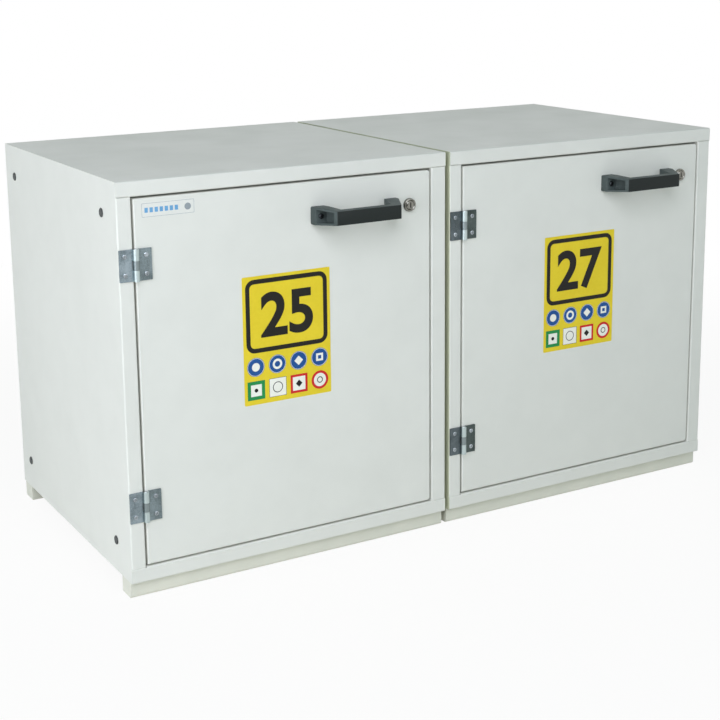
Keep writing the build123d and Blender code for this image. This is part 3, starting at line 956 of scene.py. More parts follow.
def separate_boxes(node: str) -> list[tuple[Vector, Vector]]:
    """Splits a node that holds several like pieces into the box of each.

    Args:
        node: Name of the node.

    Returns:
        Lowest and highest corner of each piece.
    """
    source = bmesh.new()
    source.from_mesh(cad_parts[node].data)
    bmesh.ops.remove_doubles(source, verts=source.verts, dist=MERGE)
    seen: set[Vert] = set()
    boxes: list[tuple[Vector, Vector]] = []
    for start in source.verts:
        if start in seen:
            continue
        island = [start]
        seen.add(start)
        for vert in island:
            for other in (edge.other_vert(vert) for edge in vert.link_edges):
                if other not in seen:
                    seen.add(other)
                    island.append(other)
        boxes.append(extent(island))
    source.free()
    return boxes


# Recesses, screws and plugs

class Drive(Enum):
    """Shape of the recess in a screw head or a lock plug."""

    SLOT = "slot"
    CROSS = "cross"

    def outline(self, size: float) -> list[Point]:
        """Outline of the recess, as points round its middle.

        Args:
            size: Its overall size.

        Returns:
            The points, in order.
        """
        half = size / 2.0
        if self is Drive.SLOT:
            narrow = size * 0.11
            return [(-narrow, -half), (narrow, -half), (narrow, half), (-narrow, half)]
        arm = size * 0.13
        quarter = [(arm, half), (-arm, half), (-arm, arm)]
        turns = [(1, 0), (0, 1), (-1, 0), (0, -1)]
        return [(x * c - z * s, x * s + z * c) for c, s in turns for x, z in quarter]


def sunk_drive(
    source: Mesh,
    centre: Vector,
    rim: float,
    drive: Drive,
    size: float,
    depth: float,
    turn: float = 0.0,
) -> None:
    """Closes the open ring of a head that faces the front with a recessed face.

    Args:
        source: The mesh, with an open ring round the centre.
        centre: Middle of the face.
        rim: Radius of the open ring.
        drive: Kind of recess.
        size: Overall size of the recess.
        depth: Its depth.
        turn: Angle of the recess in radians.
    """
    slack = 0.02 * rim + MERGE
    ring = [
        e for e in source.edges
        if len(e.link_faces) == 1
        and all(abs((v.co - centre).length - rim) < slack for v in e.verts)
    ]
    cos, sin = math.cos(turn), math.sin(turn)
    corners = [
        source.verts.new(centre + Vector((x * cos - z * sin, 0.0, x * sin + z * cos)))
        for x, z in drive.outline(size)
    ]
    mouth = [source.edges.new(pair) for pair in zip(corners, corners[1:] + corners[:1])]
    bmesh.ops.triangle_fill(source, use_beauty=True, edges=ring + mouth, normal=OUTWARD)
    walls = bmesh.ops.extrude_edge_only(source, edges=mouth)["geom"]
    lower = [g for g in walls if isinstance(g, Vert)]
    bmesh.ops.translate(source, vec=-OUTWARD * depth, verts=lower)
    floor = [g for g in walls if isinstance(g, Edge) and len(g.link_faces) == 1]
    bmesh.ops.triangle_fill(source, use_beauty=True, edges=floor, normal=OUTWARD)


@dataclass(frozen=True)
class CrossScrews:
    """Domed screws with crossed recesses, which face the front.

    Attributes:
        finish: Their finish.
        head_height: Height of the head.
        shank_radius: Radius of the shank.
        turns: Angle of each recess in radians, in order.
        face: Flat middle of the head, as a share of its radius.
        skirt: Upright edge of the head, as a share of its height.
        dome: Where the dome has its rings, as shares of a quarter turn.
        recess: Size of the recess, as a share of the head's radius.
        sink: Depth of the recess, as a share of the head's height.
        steps: Steps round a screw.
    """

    finish: Finish
    head_height: float = 1.3 * MM
    shank_radius: float = 2.0 * MM
    turns: tuple[float, ...] = (0.3, 1.1, 0.7, 0.1, 1.4, 0.9, 0.5, 1.25)
    face: float = 0.62
    skirt: float = 0.25
    dome: tuple[float, ...] = (0.0, 0.35, 0.65, 0.88, 1.0)
    recess: float = 1.02
    sink: float = 0.7
    steps: int = 32

    def add(self, source: Mesh, seat: Vector, radius: float, length: float, turn: float) -> None:
        """Adds one screw.

        Args:
            source: The mesh that gets the screw.
            seat: Middle of the face that the head sits on.
            radius: Radius of the head.
            length: Length of the shank.
            turn: Angle of the recess in radians.
        """
        face, height = self.face * radius, self.head_height
        one = bmesh.new()
        shank = self.shank_radius
        profile = [(0.0, -length), (shank, -length), (shank, 0.0), (radius, 0.0)]
        for share in self.dome:
            angle = math.radians(90.0 * share)
            rise = self.skirt + (1.0 - self.skirt) * math.sin(angle)
            profile.append((face + (radius - face) * math.cos(angle), height * rise))
        turned(one, seat, OUTWARD, profile, self.steps)
        top = seat + OUTWARD * height
        sunk_drive(one, top, face, Drive.CROSS, self.recess * radius, self.sink * height, turn)
        joined(source, one)

    def stand_in(self, node: str, body: str) -> None:
        """Replaces a node of plain screws.

        Args:
            node: The node that holds them.
            body: Body that they ride on.
        """
        source = bmesh.new()
        for index, (low, high) in enumerate(separate_boxes(node)):
            middle = (low + high) / 2.0
            seat = Vector((middle.x, low.y + self.head_height, middle.z))
            turn = self.turns[index % len(self.turns)]
            self.add(source, seat, (high.x - low.x) / 2.0, high.y - seat.y, turn)
        finished_piece(source, f"{node}_crossed", body, self.finish, node)


HINGE_SCREWS = CrossScrews(SCREW_ZINC)
# Their dark colour is painted shade.
HANDLE_SCREWS = CrossScrews(HANDLE_SCREW_SHADED, 3.0 * MM, 2.5 * MM, (0.4, 1.4))


@dataclass
class SidePlugs:
    """Round plugs pressed into the bolt holes of the outer walls."""

    rim: float = 0.9 * MM
    dish: float = 0.5 * MM
    stem_radius: float = 4.0 * MM
    steps: int = 36

    def profile(self, radius: float, height: float, stem: float) -> list[Point]:
        """Profile of a plug with a domed rim and a dished middle.

        Args:
            radius: Radius of its head.
            height: Height of its head.
            stem: Length of its stem.

        Returns:
            Radius and height of each point, from the stem's end.
        """
        return [
            (0.0, -stem),
            (self.stem_radius * 0.8, -stem),
            (self.stem_radius, -stem * 0.7),
            (self.stem_radius, 0.0),
            (radius, 0.0),
            (radius, height * 0.35),
            (radius - 0.35 * self.rim, height * 0.8),
            (radius - self.rim, height),
            (radius - 1.6 * self.rim, height * 0.97),
            (radius - 2.2 * self.rim, height - self.dish),
            (radius * 0.35, height - self.dish * 0.7),
            (0.0, height - self.dish * 0.6),
        ]

    def build(self) -> None:
        """Replaces the plain plugs with domed and dished ones."""
        node = "side_plugs"
        source = bmesh.new()
        left_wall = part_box("left_hinge_side_panel")[0].x
        right_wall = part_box("right_lock_side_panel")[1].x
        for low, high in separate_boxes(node):
            on_left = low.x < 0.0
            wall_x = left_wall if on_left else right_wall
            face_x, tip_x = (low.x, high.x) if on_left else (high.x, low.x)
            centre = Vector((wall_x, (low.y + high.y) / 2.0, (low.z + high.z) / 2.0))
            axis = Vector((-1.0 if on_left else 1.0, 0.0, 0.0))
            height, stem = abs(face_x - wall_x), abs(tip_x - wall_x)
            profile = self.profile((high.z - low.z) / 2.0, height, stem)
            turned(source, centre, axis, profile, self.steps)
        finished_piece(source, "side_plugs_domed", "cases", PLUG_PLASTIC, node)


# Sheet metal and inner parts

@dataclass
class PlainParts:
    """Pieces whose shape in the frame is right, with the finish of each."""

    case: tuple[str, ...] = (
        "hinge_side_panel", "lock_side_panel", "top_panel", "bottom_panel", "back_panel",
    )
    plinth: tuple[str, ...] = ("front_rail", "rear_rail")
    door: tuple[str, ...] = ("door_skin", "door_inner_panel")
    frame_leaves: tuple[str, ...] = ("upper_hinge_frame_leaf", "lower_hinge_frame_leaf")
    door_leaves: tuple[str, ...] = ("upper_hinge_door_leaf", "lower_hinge_door_leaf")
    pins: tuple[str, ...] = ("upper_hinge_pin", "lower_hinge_pin")
    cam: tuple[str, ...] = ("lock_nut", "lock_cam")

    def dress_all(self) -> None:
        """Gives every kept node its finish."""
        for cabinet in CABINETS:
            for names, finish in (
                (self.case, CASE_PAINT),
                (self.plinth, PLINTH_PAINT),
                (self.door, DOOR_PAINT),
                (self.pins, PIN_STEEL),
                (self.cam, CAM_STEEL),
                (("shelf_tray",), SHELF_PAINT),
                (("sump_tray",), SUMP_PLASTIC),
                (("door_label",), LABEL_FILM),
                (self.frame_leaves, FRAME_LEAF_ZINC_LIT_AND_SHADED[cabinet]),
                (self.door_leaves, DOOR_LEAF_ZINC_LIT_AND_SHADED[cabinet]),
            ):
                for name in names:
                    dress(f"{cabinet}_{name}", finish)
        dress("shelf_strips", STRIP_ZINC)
        dress("shelf_clips", STRIP_ZINC)
        dress("joining_spacers", SPACER_STEEL)
        dress("joining_bolts", SCREW_ZINC)


# Handle

@dataclass
class BridgeHandle:
    """Moulded bridge handle with a screw pocket in the outer face of each leg.

    Attributes:
        pocket_floor: Where a pocket begins, in front of the door.
        pocket_end: Where it ends.
        wall: What is left between a pocket and the inner face of its leg.
        facing: Least cosine between a leg's outer face and its slant.
    """

    cabinet: str
    foot_width: float = 22.0 * MM
    foot_depth: float = 6.0 * MM
    bar_length: float = 110.0 * MM
    bar_height: float = 21.0 * MM
    bar_depth: float = 12.0 * MM
    pocket_floor: float = 12.0 * MM
    pocket_end: float = 41.0 * MM
    pocket_rim: float = 3.3 * MM
    pocket_lip: float = 1.5 * MM
    wall: float = 4.5 * MM
    corner: float = 1.6 * MM
    corner_steps: int = 5
    foot_corner: float = 5.0 * MM
    foot_steps: int = 4
    edge: float = 0.6 * MM
    edge_steps: int = 3
    facing: float = 0.98

    def __post_init__(self) -> None:
        """Reads the handle's place and reach from the frame and works out where its legs stand."""
        low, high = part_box(f"{self.cabinet}_handle")
        self.middle = (low + high) / 2.0
        self.half_height = (high.z - low.z) / 2.0
        self.reach = high.y - low.y
        self.door_y = high.y
        self.foot_end = (high.x - low.x) / 2.0
        self.bar_end = self.bar_length / 2.0
        self.leg_root = self.foot_end - self.foot_width
        self.leg_tip = self.bar_end - self.bar_depth

    def at(self, x: float, depth: float, z: float) -> Vector:
        """A point from the handle's middle line, depth in front of the door."""
        return Vector((self.middle.x + x, self.door_y - depth, self.middle.z + z))

    def depth(self, vert: Vert) -> float:
        """How far a vertex stands in front of the door."""
        return self.door_y - vert.co.y

    def rise(self, vert: Vert) -> float:
        """1 for a vertex above the handle's middle line and -1 for one below it."""
        return math.copysign(1.0, vert.co.z - self.middle.z)

    def half_height_at(self, depth: float) -> float:
        """Half the handle's height, which narrows from the pocket to the bar."""
        share = max(0.0, (depth - self.pocket_floor) / (self.reach - self.pocket_floor))
        return self.half_height + share * (self.bar_height / 2.0 - self.half_height)

    def build(self) -> None:
        """Builds the moulding and its two screws."""
        body = f"{self.cabinet}_door"
        source = self.moulding()
        name = f"{self.cabinet}_handle_moulding"
        finished_piece(source, name, body, HANDLE_PLASTIC, f"{self.cabinet}_handle")
        HANDLE_SCREWS.stand_in(f"{self.cabinet}_handle_screws", body)

    def moulding(self) -> Mesh:
        """The one-piece moulding.

        Returns:
            Its mesh.
        """
        half_outline = [
            (self.foot_end, self.foot_depth),
            (self.foot_end, 0.0),
            (self.leg_root, 0.0),
            (self.leg_tip, self.reach - self.bar_depth),
        ]
        mirrored = [(-x, depth) for x, depth in reversed(half_outline)]
        front = [(-self.bar_end, self.reach), (self.bar_end, self.reach)]
        outline = [*front, *half_outline, *mirrored]
        source = bmesh.new()
        base = flat_outline(source, (self.at(x, depth, -self.half_height) for x, depth in outline))
        thickened(source, [base], Vector((0.0, 0.0, 2.0 * self.half_height)))
        bmesh.ops.recalc_face_normals(source, faces=source.faces)
        for depth in (self.pocket_floor - self.pocket_lip, self.pocket_end + self.pocket_lip):
            whole = list(source.verts) + list(source.edges) + list(source.faces)
            cut = self.at(0.0, depth, 0.0)
            bmesh.ops.bisect_plane(source, geom=whole, plane_co=cut, plane_no=OUTWARD)
        for vert in source.verts:
            vert.co.z = self.middle.z + self.rise(vert) * self.half_height_at(self.depth(vert))
        for side in (-1.0, 1.0):
            self.pocket(source, side)
        self.soften(source)
        return source

    def pocket(self, source: Mesh, side: float) -> None:
        """Sinks a screw pocket into the slanted outer face of one leg.

        Args:
            source: The moulding's mesh.
            side: -1 for the left leg and 1 for the right one.
        """
        slant = (self.foot_end - self.bar_end) / (self.reach - self.foot_depth)
        outer = Vector((side, -slant, 0.0)).normalized()
        low, high = self.pocket_floor - self.pocket_lip, self.pocket_end + self.pocket_lip
        faces = [
            f for f in source.faces
            if f.normal.dot(outer) > self.facing
            and all(low - NEAR < self.depth(v) < high + NEAR for v in f.verts)
        ]
        if len(faces) != 1:
            raise ValueError(f"{len(faces)} faces for one pocket")
        bmesh.ops.inset_region(source, faces=faces, thickness=self.pocket_rim, use_even_offset=True)
        for vert in faces[0].verts:
            depth = self.pocket_floor if self.depth(vert) < (low + high) / 2.0 else self.pocket_end
            x_outer = self.foot_end - (depth - self.foot_depth) * slant
            z = self.rise(vert) * (self.half_height_at(depth) - self.pocket_rim)
            vert.co = self.at(side * x_outer, depth, z)
        floor = bmesh.ops.extrude_discrete_faces(source, faces=faces)["faces"][0]
        inner_slant = (self.leg_root - self.leg_tip) / (self.reach - self.bar_depth)
        for vert in floor.verts:
            x_inner = self.leg_root - self.depth(vert) * inner_slant + self.wall
            vert.co.x = self.middle.x + side * x_inner

    def soften(self, source: Mesh) -> None:
        """Rounds the bar's corners, the feet and every remaining edge.

        Args:
            source: The moulding's mesh.
        """
        bmesh.ops.remove_doubles(source, verts=source.verts, dist=FINE_MERGE)
        source.normal_update()
        bar = [
            e for e in source.edges
            if all(abs(self.depth(v) - self.reach) < NEAR for v in e.verts)
            and abs(e.verts[0].co.x - e.verts[1].co.x) < MERGE
        ]
        rounded(source, bar, self.corner, self.corner_steps)
        feet = [
            e for e in source.edges
            if all(abs(abs(v.co.x - self.middle.x) - self.foot_end) < NEAR for v in e.verts)
            and abs(e.verts[0].co.z - e.verts[1].co.z) < MERGE
        ]
        rounded(source, feet, self.foot_corner, self.foot_steps)
        source.normal_update()
        sharp = [
            e for e in source.edges
            if len(e.link_faces) == 2 and e.calc_face_angle(0.0) > SMOOTH_ANGLE
            and any(self.depth(v) > NEAR for v in e.verts)
        ]
        rounded(source, sharp, self.edge, self.edge_steps)


# Cam lock

@dataclass
class CamLock:
    """Nickel cam lock: flanged housing, turning plug with a key slot, and the cam's screw.

    Attributes:
        flange_edge: Outer edge of the flange, inwards in rim widths and up in flange heights.
        mouth: Bevel round the plug, out from the bore and down from the flange's face.
        shoulder: Edge of the plug behind its face, in from its radius and back from its face.
        dark: Depths between which the key slot's walls get painted shade.
    """

    cabinet: str
    barrel_radius: float = 9.0 * MM
    plug_radius: float = 7.0 * MM
    bore_radius: float = 7.05 * MM
    flange_height: float = 4.6 * MM
    rim_width: float = 1.3 * MM
    flange_edge: tuple[Point, ...] = (
        (0.0, 0.0), (0.0, 0.55), (0.25, 0.80), (0.8, 0.97), (1.2, 1.0),
    )
    mouth: tuple[Point, ...] = (
        (1.1 * MM, 0.0), (0.8 * MM, 0.25 * MM), (0.35 * MM, 0.7 * MM), (0.0, 0.9 * MM),
    )
    face_radius: float = 5.8 * MM
    shoulder: tuple[Point, ...] = ((0.0, 1.3 * MM), (0.3 * MM, 0.9 * MM), (1.0 * MM, 0.35 * MM))
    slot_length: float = 8.5 * MM
    slot_depth: float = 5.0 * MM
    dark: Point = (0.4 * MM, 5.1 * MM)
    cam_screw_turn: float = 0.5
    steps: int = 56

    def build(self) -> None:
        """Builds the housing, the plug and the cam's screw."""
        self.housing()
        self.plug()
        self.cam_screw()

    def housing(self) -> None:
        """Turned housing with a stepped and bevelled flange."""
        node = f"{self.cabinet}_lock_body"
        low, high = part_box(node)
        middle = (low + high) / 2.0
        radius = (high.x - low.x) / 2.0
        top = self.flange_height
        door_y = low.y + top
        length = high.y - door_y
        bore, barrel, rim = self.bore_radius, self.barrel_radius, self.rim_width
        profile = [(bore, -length), (barrel, -length), (barrel, 0.0)]
        profile += [(radius - inwards * rim, up * top) for inwards, up in self.flange_edge]
        profile += [(bore + out, top - down) for out, down in self.mouth]
        profile.append(profile[0])
        source = bmesh.new()
        turned(source, Vector((middle.x, door_y, middle.z)), OUTWARD, profile, self.steps)
        name = f"{self.cabinet}_lock_housing"
        finished_piece(source, name, f"{self.cabinet}_door", LOCK_NICKEL, node)

    def plug(self) -> None:
        """Turned plug with the key slot and a round shoulder."""
        node = f"{self.cabinet}_lock_plug"
        low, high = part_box(node)
        middle = (low + high) / 2.0
        face = Vector((middle.x, low.y, middle.z))
        length = high.y - low.y
        profile = [(0.0, -length), (self.plug_radius, -length)]
        profile += [(self.plug_radius - inwards, -back) for inwards, back in self.shoulder]
        profile.append((self.face_radius, 0.0))
        source = bmesh.new()
        turned(source, face, OUTWARD, profile, self.steps)
        sunk_drive(source, face, self.face_radius, Drive.SLOT, self.slot_length, self.slot_depth)
        name = f"{self.cabinet}_lock_keyway"
        plug = finished_piece(source, name, f"{self.cabinet}_lock", LOCK_NICKEL, node)
        # Painted shade on the key slot's walls and floor.
        plug.data.materials.append(KEYHOLE_SHADE.material())
        for polygon in plug.data.polygons:
            inside = (polygon.center - middle).xz.length < self.slot_length / 2.0 + NEAR
            if inside and self.dark[0] < polygon.center.y - low.y < self.dark[1]:
                polygon.material_index = 1

    def cam_screw(self) -> None:
        """Pan-head screw on the end of the plug, with its recess towards the inside."""
        node = f"{self.cabinet}_lock_cam_screw"
        low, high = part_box(node)
        middle = (low + high) / 2.0
        cam_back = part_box(f"{self.cabinet}_lock_cam")[1].y
        seat = Vector((middle.x, cam_back, middle.z))
        screw = CrossScrews(SCREW_ZINC, high.y - cam_back)
        source = bmesh.new()
        screw.add(source, seat, (high.x - low.x) / 2.0, cam_back - low.y, self.cam_screw_turn)
        half_turn = Matrix.Rotation(math.pi, 3, "Z")
        bmesh.ops.rotate(source, cent=seat, matrix=half_turn, verts=source.verts)
        name = f"{self.cabinet}_cam_screw_crossed"
        finished_piece(source, name, f"{self.cabinet}_lock", SCREW_ZINC, node)


# Door trim

@dataclass
class DoorSeal:
    """Soft sealing ring on the back of the door."""

    cabinet: str
    width: float = 9.0 * MM
    corner: float = 11.0 * MM
    corner_steps: int = 7
    crown: float = 1.1 * MM
    crown_steps: int = 4

    def build(self) -> None:
        """Replaces the plain ring with one whose strip has a crowned face."""
        node = f"{self.cabinet}_door_seal"
        low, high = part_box(node)
        x, z = (low.x, high.x), (low.z, high.z)
        source = flat_frame(x, low.y, z, self.corner, self.corner_steps, self.width)
        faces = thickened(source, list(source.faces), Vector((0.0, high.y - low.y, 0.0)))
        edges = {edge for face in faces for edge in face.edges}
        rims = [e for e in edges if sum(f in faces for f in e.link_faces) == 1]
        rounded(source, rims, self.crown, self.crown_steps)
        name = f"{self.cabinet}_seal_crowned"
        finished_piece(source, name, f"{self.cabinet}_door", SEAL_RUBBER, node)


class Shape(Enum):
    """Shape of a mark on a chip."""

    ROUND = "round"
    SQUARE = "square"
    DIAMOND = "diamond"


@dataclass(frozen=True)
class Mark:
    """One plain shape of ink in a row of chips.

    Attributes:
        sheet: Which of the label's printed pieces it belongs to.
        column: Place of its chip in the row, from the left.
        shape: Its shape.
        size: Its width.
        line: Width of its line, or 0 for a full shape.
        layer: How many prints lie under it.
    """

    sheet: str
    column: int
    shape: Shape
    size: float
    line: float = 0.0
    layer: int = 1


CHIP = 29.0 * MM
DISC_ROW = (
    *(Mark("discs", column, Shape.ROUND, CHIP, layer=0) for column in range(4)),
    *(Mark("disc_marks", column, Shape.ROUND, CHIP - 1.4 * MM, 0.6 * MM) for column in range(4)),
    Mark("disc_marks", 0, Shape.ROUND, 13.0 * MM),
    Mark("disc_marks", 1, Shape.ROUND, 16.0 * MM, 3.5 * MM),
    Mark("disc_marks", 2, Shape.DIAMOND, 10.5 * MM),
    Mark("disc_marks", 3, Shape.SQUARE, 12.0 * MM, 3.2 * MM),
)
SQUARE_ROW = (
    *(Mark("fields", column, Shape.SQUARE, CHIP, layer=0) for column in range(3)),
    Mark("green", 0, Shape.SQUARE, CHIP, 5.5 * MM),
    Mark("black", 1, Shape.SQUARE, CHIP, 0.6 * MM),
    Mark("red", 2, Shape.SQUARE, CHIP, 3.8 * MM),
    Mark("red", 3, Shape.ROUND, CHIP, layer=0),
    Mark("fields", 3, Shape.ROUND, 21.0 * MM),
    Mark("black", 0, Shape.ROUND, 6.0 * MM),
    Mark("black", 1, Shape.ROUND, 17.0 * MM, 1.2 * MM),
    Mark("black", 2, Shape.DIAMOND, 8.0 * MM),
    Mark("black", 3, Shape.ROUND, 10.0 * MM, 1.4 * MM, layer=2),
)
SHEET_INKS = {
    "discs": BLUE_INK,
    "disc_marks": WHITE_INK,
    "fields": WHITE_INK,
    "red": RED_INK,
    "green": GREEN_INK,
    "black": BLACK_INK,
}


@dataclass
class DoorLabel:
    """Print on the yellow sheet label: a framed number over two rows of plain colour chips."""

    cabinet: str
    number: str
    ink: float = 0.05 * MM
    margin: float = 5.0 * MM
    frame_line: float = 7.0 * MM
    frame_height: float = 112.0 * MM
    frame_corner: float = 14.0 * MM
    numeral_size: float = 92.0 * MM
    numeral_weight: float = 2.4 * MM
    chip_corner: float = 0.5 * MM
    row_gap: float = 7.0 * MM

    def __post_init__(self) -> None:
        """Reads the label's place from the frame and works out where its chips lie."""
        self.low, self.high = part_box(f"{self.cabinet}_door_label")
        self.body = f"{self.cabinet}_door"
        first = self.low.x + self.margin + CHIP / 2.0
        step = (self.high.x - self.low.x - 2.0 * self.margin - CHIP) / 3.0
        self.columns = [first + step * index for index in range(4)]

    def build(self) -> None:
        """Builds the frame, the number and the chips."""
        x = (self.low.x + self.margin, self.high.x - self.margin)
        top = self.high.z - self.margin
        z = (top - self.frame_height, top)
        border = thin_plate(x, z, self.low.y, self.ink, self.frame_corner, self.frame_line)
        finished_piece(border, f"{self.cabinet}_label_frame", self.body, BLACK_INK)
        self.numeral(Vector(((self.low.x + self.high.x) / 2.0, self.low.y, sum(z) / 2.0)))
        disc_z = z[0] - self.row_gap - CHIP / 2.0
        sheets = {sheet: bmesh.new() for sheet in SHEET_INKS}
        for row_z, row in ((disc_z, DISC_ROW), (disc_z - self.row_gap - CHIP, SQUARE_ROW)):
            for mark in row:
                joined(sheets[mark.sheet], self.printed(mark, row_z))
        for sheet, ink in SHEET_INKS.items():
            finished_piece(sheets[sheet], f"{self.cabinet}_chip_{sheet}", self.body, ink)

    def numeral(self, centre: Vector) -> None:
        """Large plain number in the middle of the frame.

        Args:
            centre: Middle of the number.
        """
        text = bpy.data.curves.new(f"{self.cabinet}_numeral", "FONT")
        text.body = self.number
        text.size = self.numeral_size
        text.offset = self.numeral_weight
        text.extrude = self.ink / 2.0
        text.align_x = "CENTER"
        text.align_y = "CENTER"
        holder = linked("numeral_outline", text)
        bpy.context.view_layer.update()
        evaluated = holder.evaluated_get(bpy.context.evaluated_depsgraph_get())
        shape = bpy.data.meshes.new_from_object(evaluated)
        bpy.data.objects.remove(holder)
        source = bmesh.new()
        source.from_mesh(shape)
        bpy.data.meshes.remove(shape)
        bmesh.ops.remove_doubles(source, verts=source.verts, dist=FINE_MERGE)
        upright = Matrix.Rotation(math.pi / 2.0, 3, "X")
        bmesh.ops.rotate(source, cent=(0.0, 0.0, 0.0), matrix=upright, verts=source.verts)
        low, high = extent(source.verts)
        shift = centre - (low + high) / 2.0 + OUTWARD * self.ink / 2.0
        bmesh.ops.translate(source, vec=shift, verts=source.verts)
        finished_piece(source, f"{self.cabinet}_label_number", self.body, BLACK_INK, smooth=False)

    def printed(self, mark: Mark, z: float) -> Mesh:
        """The mesh of one mark.

        Args:
            mark: The mark.
            z: Middle of its row.

        Returns:
            Its mesh.
        """
        x, half = self.columns[mark.column], mark.size / 2.0
        back = self.low.y - mark.layer * self.ink
        if mark.shape is Shape.ROUND:
            inner = half - mark.line if mark.line > 0.0 else 0.0
            return round_print(Vector((x, back, z)), half, inner, self.ink)
        corner = 0.0 if mark.line > 0.0 else self.chip_corner
        across, upward = (x - half, x + half), (z - half, z + half)
        square = thin_plate(across, upward, back, self.ink, corner, mark.line)
        if mark.shape is Shape.DIAMOND:
            turn = Matrix.Rotation(math.pi / 4.0, 3, "Y")
            bmesh.ops.rotate(square, cent=(x, self.low.y, z), matrix=turn, verts=square.verts)
        return square


@dataclass
class NamePlate:
    """Pale plate in the upper hinge corner of the left door, with a row of plain blue blocks."""

    from_hinge_edge: float = 10.9 * MM
    from_door_top: float = 6.5 * MM
    width: float = 82.0 * MM
    height: float = 22.0 * MM
    thickness: float = 0.3 * MM
    corner: float = 1.5 * MM
    ink: float = 0.04 * MM
    line_inset: float = 1.2 * MM
    line_corner: float = 1.0 * MM
    line_width: float = 0.4 * MM
    block: Point = (5.0 * MM, 7.0 * MM)
    first_block: float = 8.0 * MM
    block_step: float = 7.6 * MM
    blocks: int = 7
    disc_radius: float = 5.0 * MM
    disc_from_end: float = 11.0 * MM

    def build(self) -> None:
        """Builds the plate, a thin line round its field, the blocks and a disc."""
        low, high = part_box("left_door_skin")
        x0, z1 = low.x + self.from_hinge_edge, high.z - self.from_door_top
        x1, z0 = x0 + self.width, z1 - self.height
        face_y = low.y - self.thickness
        plate = thin_plate((x0, x1), (z0, z1), low.y, self.thickness, self.corner)
        finished_piece(plate, "left_plate", "left_door", PLATE_FILM)
        inset = self.line_inset
        x, z = (x0 + inset, x1 - inset), (z0 + inset, z1 - inset)
        line = thin_plate(x, z, face_y, self.ink, self.line_corner, self.line_width)
        finished_piece(line, "left_plate_line", "left_door", GREY_INK)
        middle_z = (z0 + z1) / 2.0
        wide, tall = (size / 2.0 for size in self.block)
        row = bmesh.new()
        for index in range(self.blocks):
            x = x0 + self.first_block + index * self.block_step
            upward = (middle_z - tall, middle_z + tall)
            joined(row, thin_plate((x - wide, x + wide), upward, face_y, self.ink))
        finished_piece(row, "left_plate_blocks", "left_door", SKY_INK)
        centre = Vector((x1 - self.disc_from_end, face_y, middle_z))
        disc = round_print(centre, self.disc_radius, 0.0, self.ink, 40)
        finished_piece(disc, "left_plate_disc", "left_door", GREY_INK)


# Studio

@dataclass(frozen=True)
class PhotoCamera:
    """The photograph's viewpoint, as angles and a place in the row frame."""

    place: Triple = (-1.250, -2.108, 0.926)
    yaw: float = 30.13
    pitch: float = 11.65
    roll: float = -0.60
    lens_mm: float = 72.5
    sensor_mm: float = 36.0
    shift_y: float = -0.15
    clip_end: float = 60.0

    def build(self) -> None:
        """Creates the camera and makes it the scene's own."""
        yaw, pitch, roll = (math.radians(a) for a in (self.yaw, self.pitch, self.roll))
        level = Vector((math.cos(yaw), -math.sin(yaw), 0.0))
        forward = Vector((
            math.sin(yaw) * math.cos(pitch), math.cos(yaw) * math.cos(pitch), -math.sin(pitch),
        ))
        upright = level.cross(forward)
        right = level * math.cos(roll) + upright * math.sin(roll)
        up = upright * math.cos(roll) - level * math.sin(roll)
        lens = bpy.data.cameras.new("photo_camera")
        lens.lens = self.lens_mm
        lens.sensor_width = self.sensor_mm
        lens.shift_y = self.shift_y
        lens.clip_end = self.clip_end
        camera = linked("photo_camera", lens)
        turn = Matrix((right, up, -forward)).transposed().to_4x4()
        camera.matrix_world = Matrix.Translation(self.place) @ turn
        bpy.context.scene.camera = camera


@dataclass(frozen=True)
class Lamp:
    """One soft area lamp that points at a place on the object."""

    name: str
    place: Triple
    size: Point
    watts: float
    colour: Triple = (0.865, 0.885, 1.0)
    aim: Triple = (0.0, 0.0, 0.32)
    mirrored: bool = True

    def build(self) -> None:
        """Creates the lamp."""
        light = bpy.data.lights.new(self.name, "AREA")
        light.shape = "RECTANGLE"
        light.size, light.size_y = self.size
        light.energy = self.watts
        light.color = self.colour
        lamp = linked(self.name, light)
        lamp.location = self.place
        direction = Vector(self.aim) - Vector(self.place)
        lamp.rotation_euler = direction.to_track_quat("-Z", "Y").to_euler()
        lamp.visible_camera = False
        lamp.visible_glossy = self.mirrored


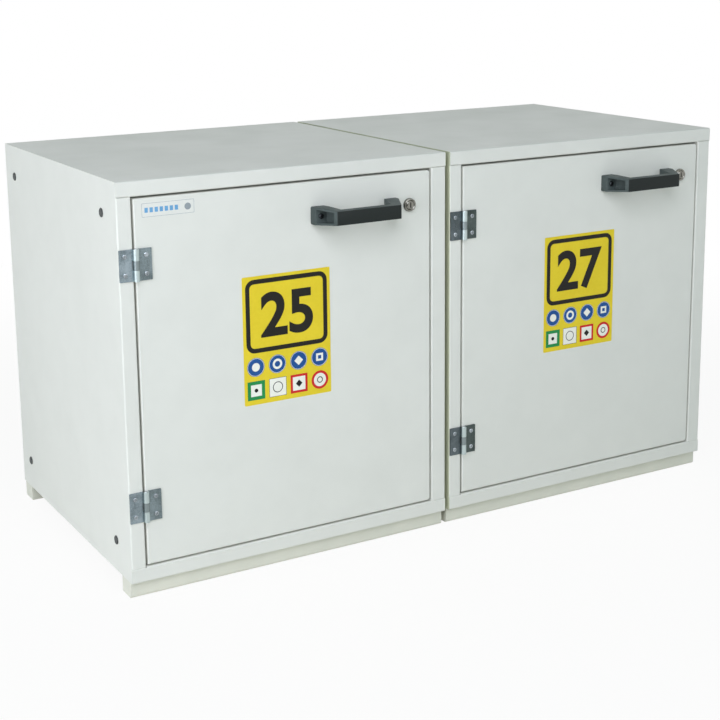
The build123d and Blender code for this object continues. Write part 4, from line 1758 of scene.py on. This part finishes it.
@dataclass(frozen=True)
class Studio:
    """Pale floor, white surround and soft lamps."""

    floor_radius: float = 14.0
    floor_steps: int = 96
    floor_colour: Triple = (0.86, 0.845, 0.78)
    floor_rough: float = 0.9
    floor_gloss: float = 0.1
    floor_white: float = 0.92
    fade: Point = (0.8, 2.2)
    sky: float = 0.185
    sky_colour: Triple = (0.70, 1.0, 0.92)
    lamps: tuple[Lamp, ...] = (
        Lamp("key_above_left", (-1.5, -2.25, 2.35), (2.0, 2.0), 54.5),
        Lamp("side_left", (-2.6, -1.3, 0.7), (1.4, 1.2), 27.5, aim=(-0.55, -0.1, 0.32)),
        Lamp("side_left_back", (-3.2, 0.1, 0.8), (0.7, 1.2), 11.0, aim=(-0.55, 0.0, 0.32)),
        Lamp("front_fill", (0.6, -3.5, 1.3), (2.0, 1.2), 21.0),
        Lamp("side_right", (3.6, -0.3, 0.7), (1.4, 1.2), 30.0, mirrored=False),
        Lamp("behind", (-0.4, 3.6, 0.7), (2.0, 1.2), 36.0, mirrored=False),
    )

    def build(self) -> None:
        """Creates the floor, the world and the lamps."""
        self.floor()
        self.world()
        for lamp in self.lamps:
            lamp.build()
        bpy.context.scene.view_settings.view_transform = "Standard"

    @staticmethod
    def seen_directly(graph: Graph) -> Socket:
        """Finds the rays that show the surround: camera, mirror and glass rays.

        Args:
            graph: The graph that needs the mask.

        Returns:
            The socket of the mask, which is 1 for those rays.
        """
        rays = graph.add("ShaderNodeLightPath").outputs
        first = graph.maths("MAXIMUM", rays["Is Camera Ray"], rays["Is Glossy Ray"])
        return graph.maths("MAXIMUM", first, rays["Is Transmission Ray"])

    def floor(self) -> None:
        """Round floor that turns into the white surround with distance."""
        source = bmesh.new()
        bmesh.ops.create_circle(
            source, cap_ends=True, segments=self.floor_steps, radius=self.floor_radius,
        )
        mesh = bpy.data.meshes.new("studio_floor")
        source.to_mesh(mesh)
        source.free()
        material = bpy.data.materials.new("studio_floor")
        material.use_nodes = True
        graph = Graph(material.node_tree)
        shader = material.node_tree.nodes["Principled BSDF"]
        graph.feed(shader.inputs["Base Color"], self.floor_colour)
        graph.feed(shader.inputs["Roughness"], self.floor_rough)
        graph.feed(shader.inputs["Specular IOR Level"], self.floor_gloss)
        length = graph.add("ShaderNodeVectorMath", operation="LENGTH")
        graph.feed(length.inputs[0], graph.add("ShaderNodeTexCoord").outputs["Object"])
        far = graph.remap(length.outputs["Value"], self.fade, (self.floor_white, 1.0))
        white = graph.add("ShaderNodeEmission").outputs[0]
        share = graph.times(far, self.seen_directly(graph))
        graph.mix_to_output("Material Output", share, shader.outputs[0], white)
        mesh.materials.append(material)
        floor = linked("studio_floor", mesh)

    def world(self) -> None:
        """White surround for the camera, softer light on the object."""
        world = bpy.data.worlds.new("studio_surround")
        world.use_nodes = True
        bpy.context.scene.world = world
        graph = Graph(world.node_tree)
        soft = world.node_tree.nodes["Background"]
        graph.feed(soft.inputs["Color"], self.sky_colour)
        graph.feed(soft.inputs["Strength"], self.sky)
        white = graph.add("ShaderNodeBackground")
        graph.feed(white.inputs["Color"], (1.0, 1.0, 1.0))
        seen = self.seen_directly(graph)
        graph.mix_to_output("World Output", seen, soft.outputs[0], white.outputs[0])


def main() -> None:
    """Builds the whole picture in order."""
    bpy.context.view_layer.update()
    PlainParts().dress_all()
    for cabinet, number in zip(CABINETS, ("25", "27")):
        BridgeHandle(cabinet).build()
        CamLock(cabinet).build()
        DoorSeal(cabinet).build()
        DoorLabel(cabinet, number).build()
        HINGE_SCREWS.stand_in(f"{cabinet}_hinge_door_screws", f"{cabinet}_door")
    HINGE_SCREWS.stand_in("hinge_frame_screws", "cases")
    SidePlugs().build()
    NamePlate().build()
    Studio().build()
    PhotoCamera().build()


if __name__ == "__main__":
    main()
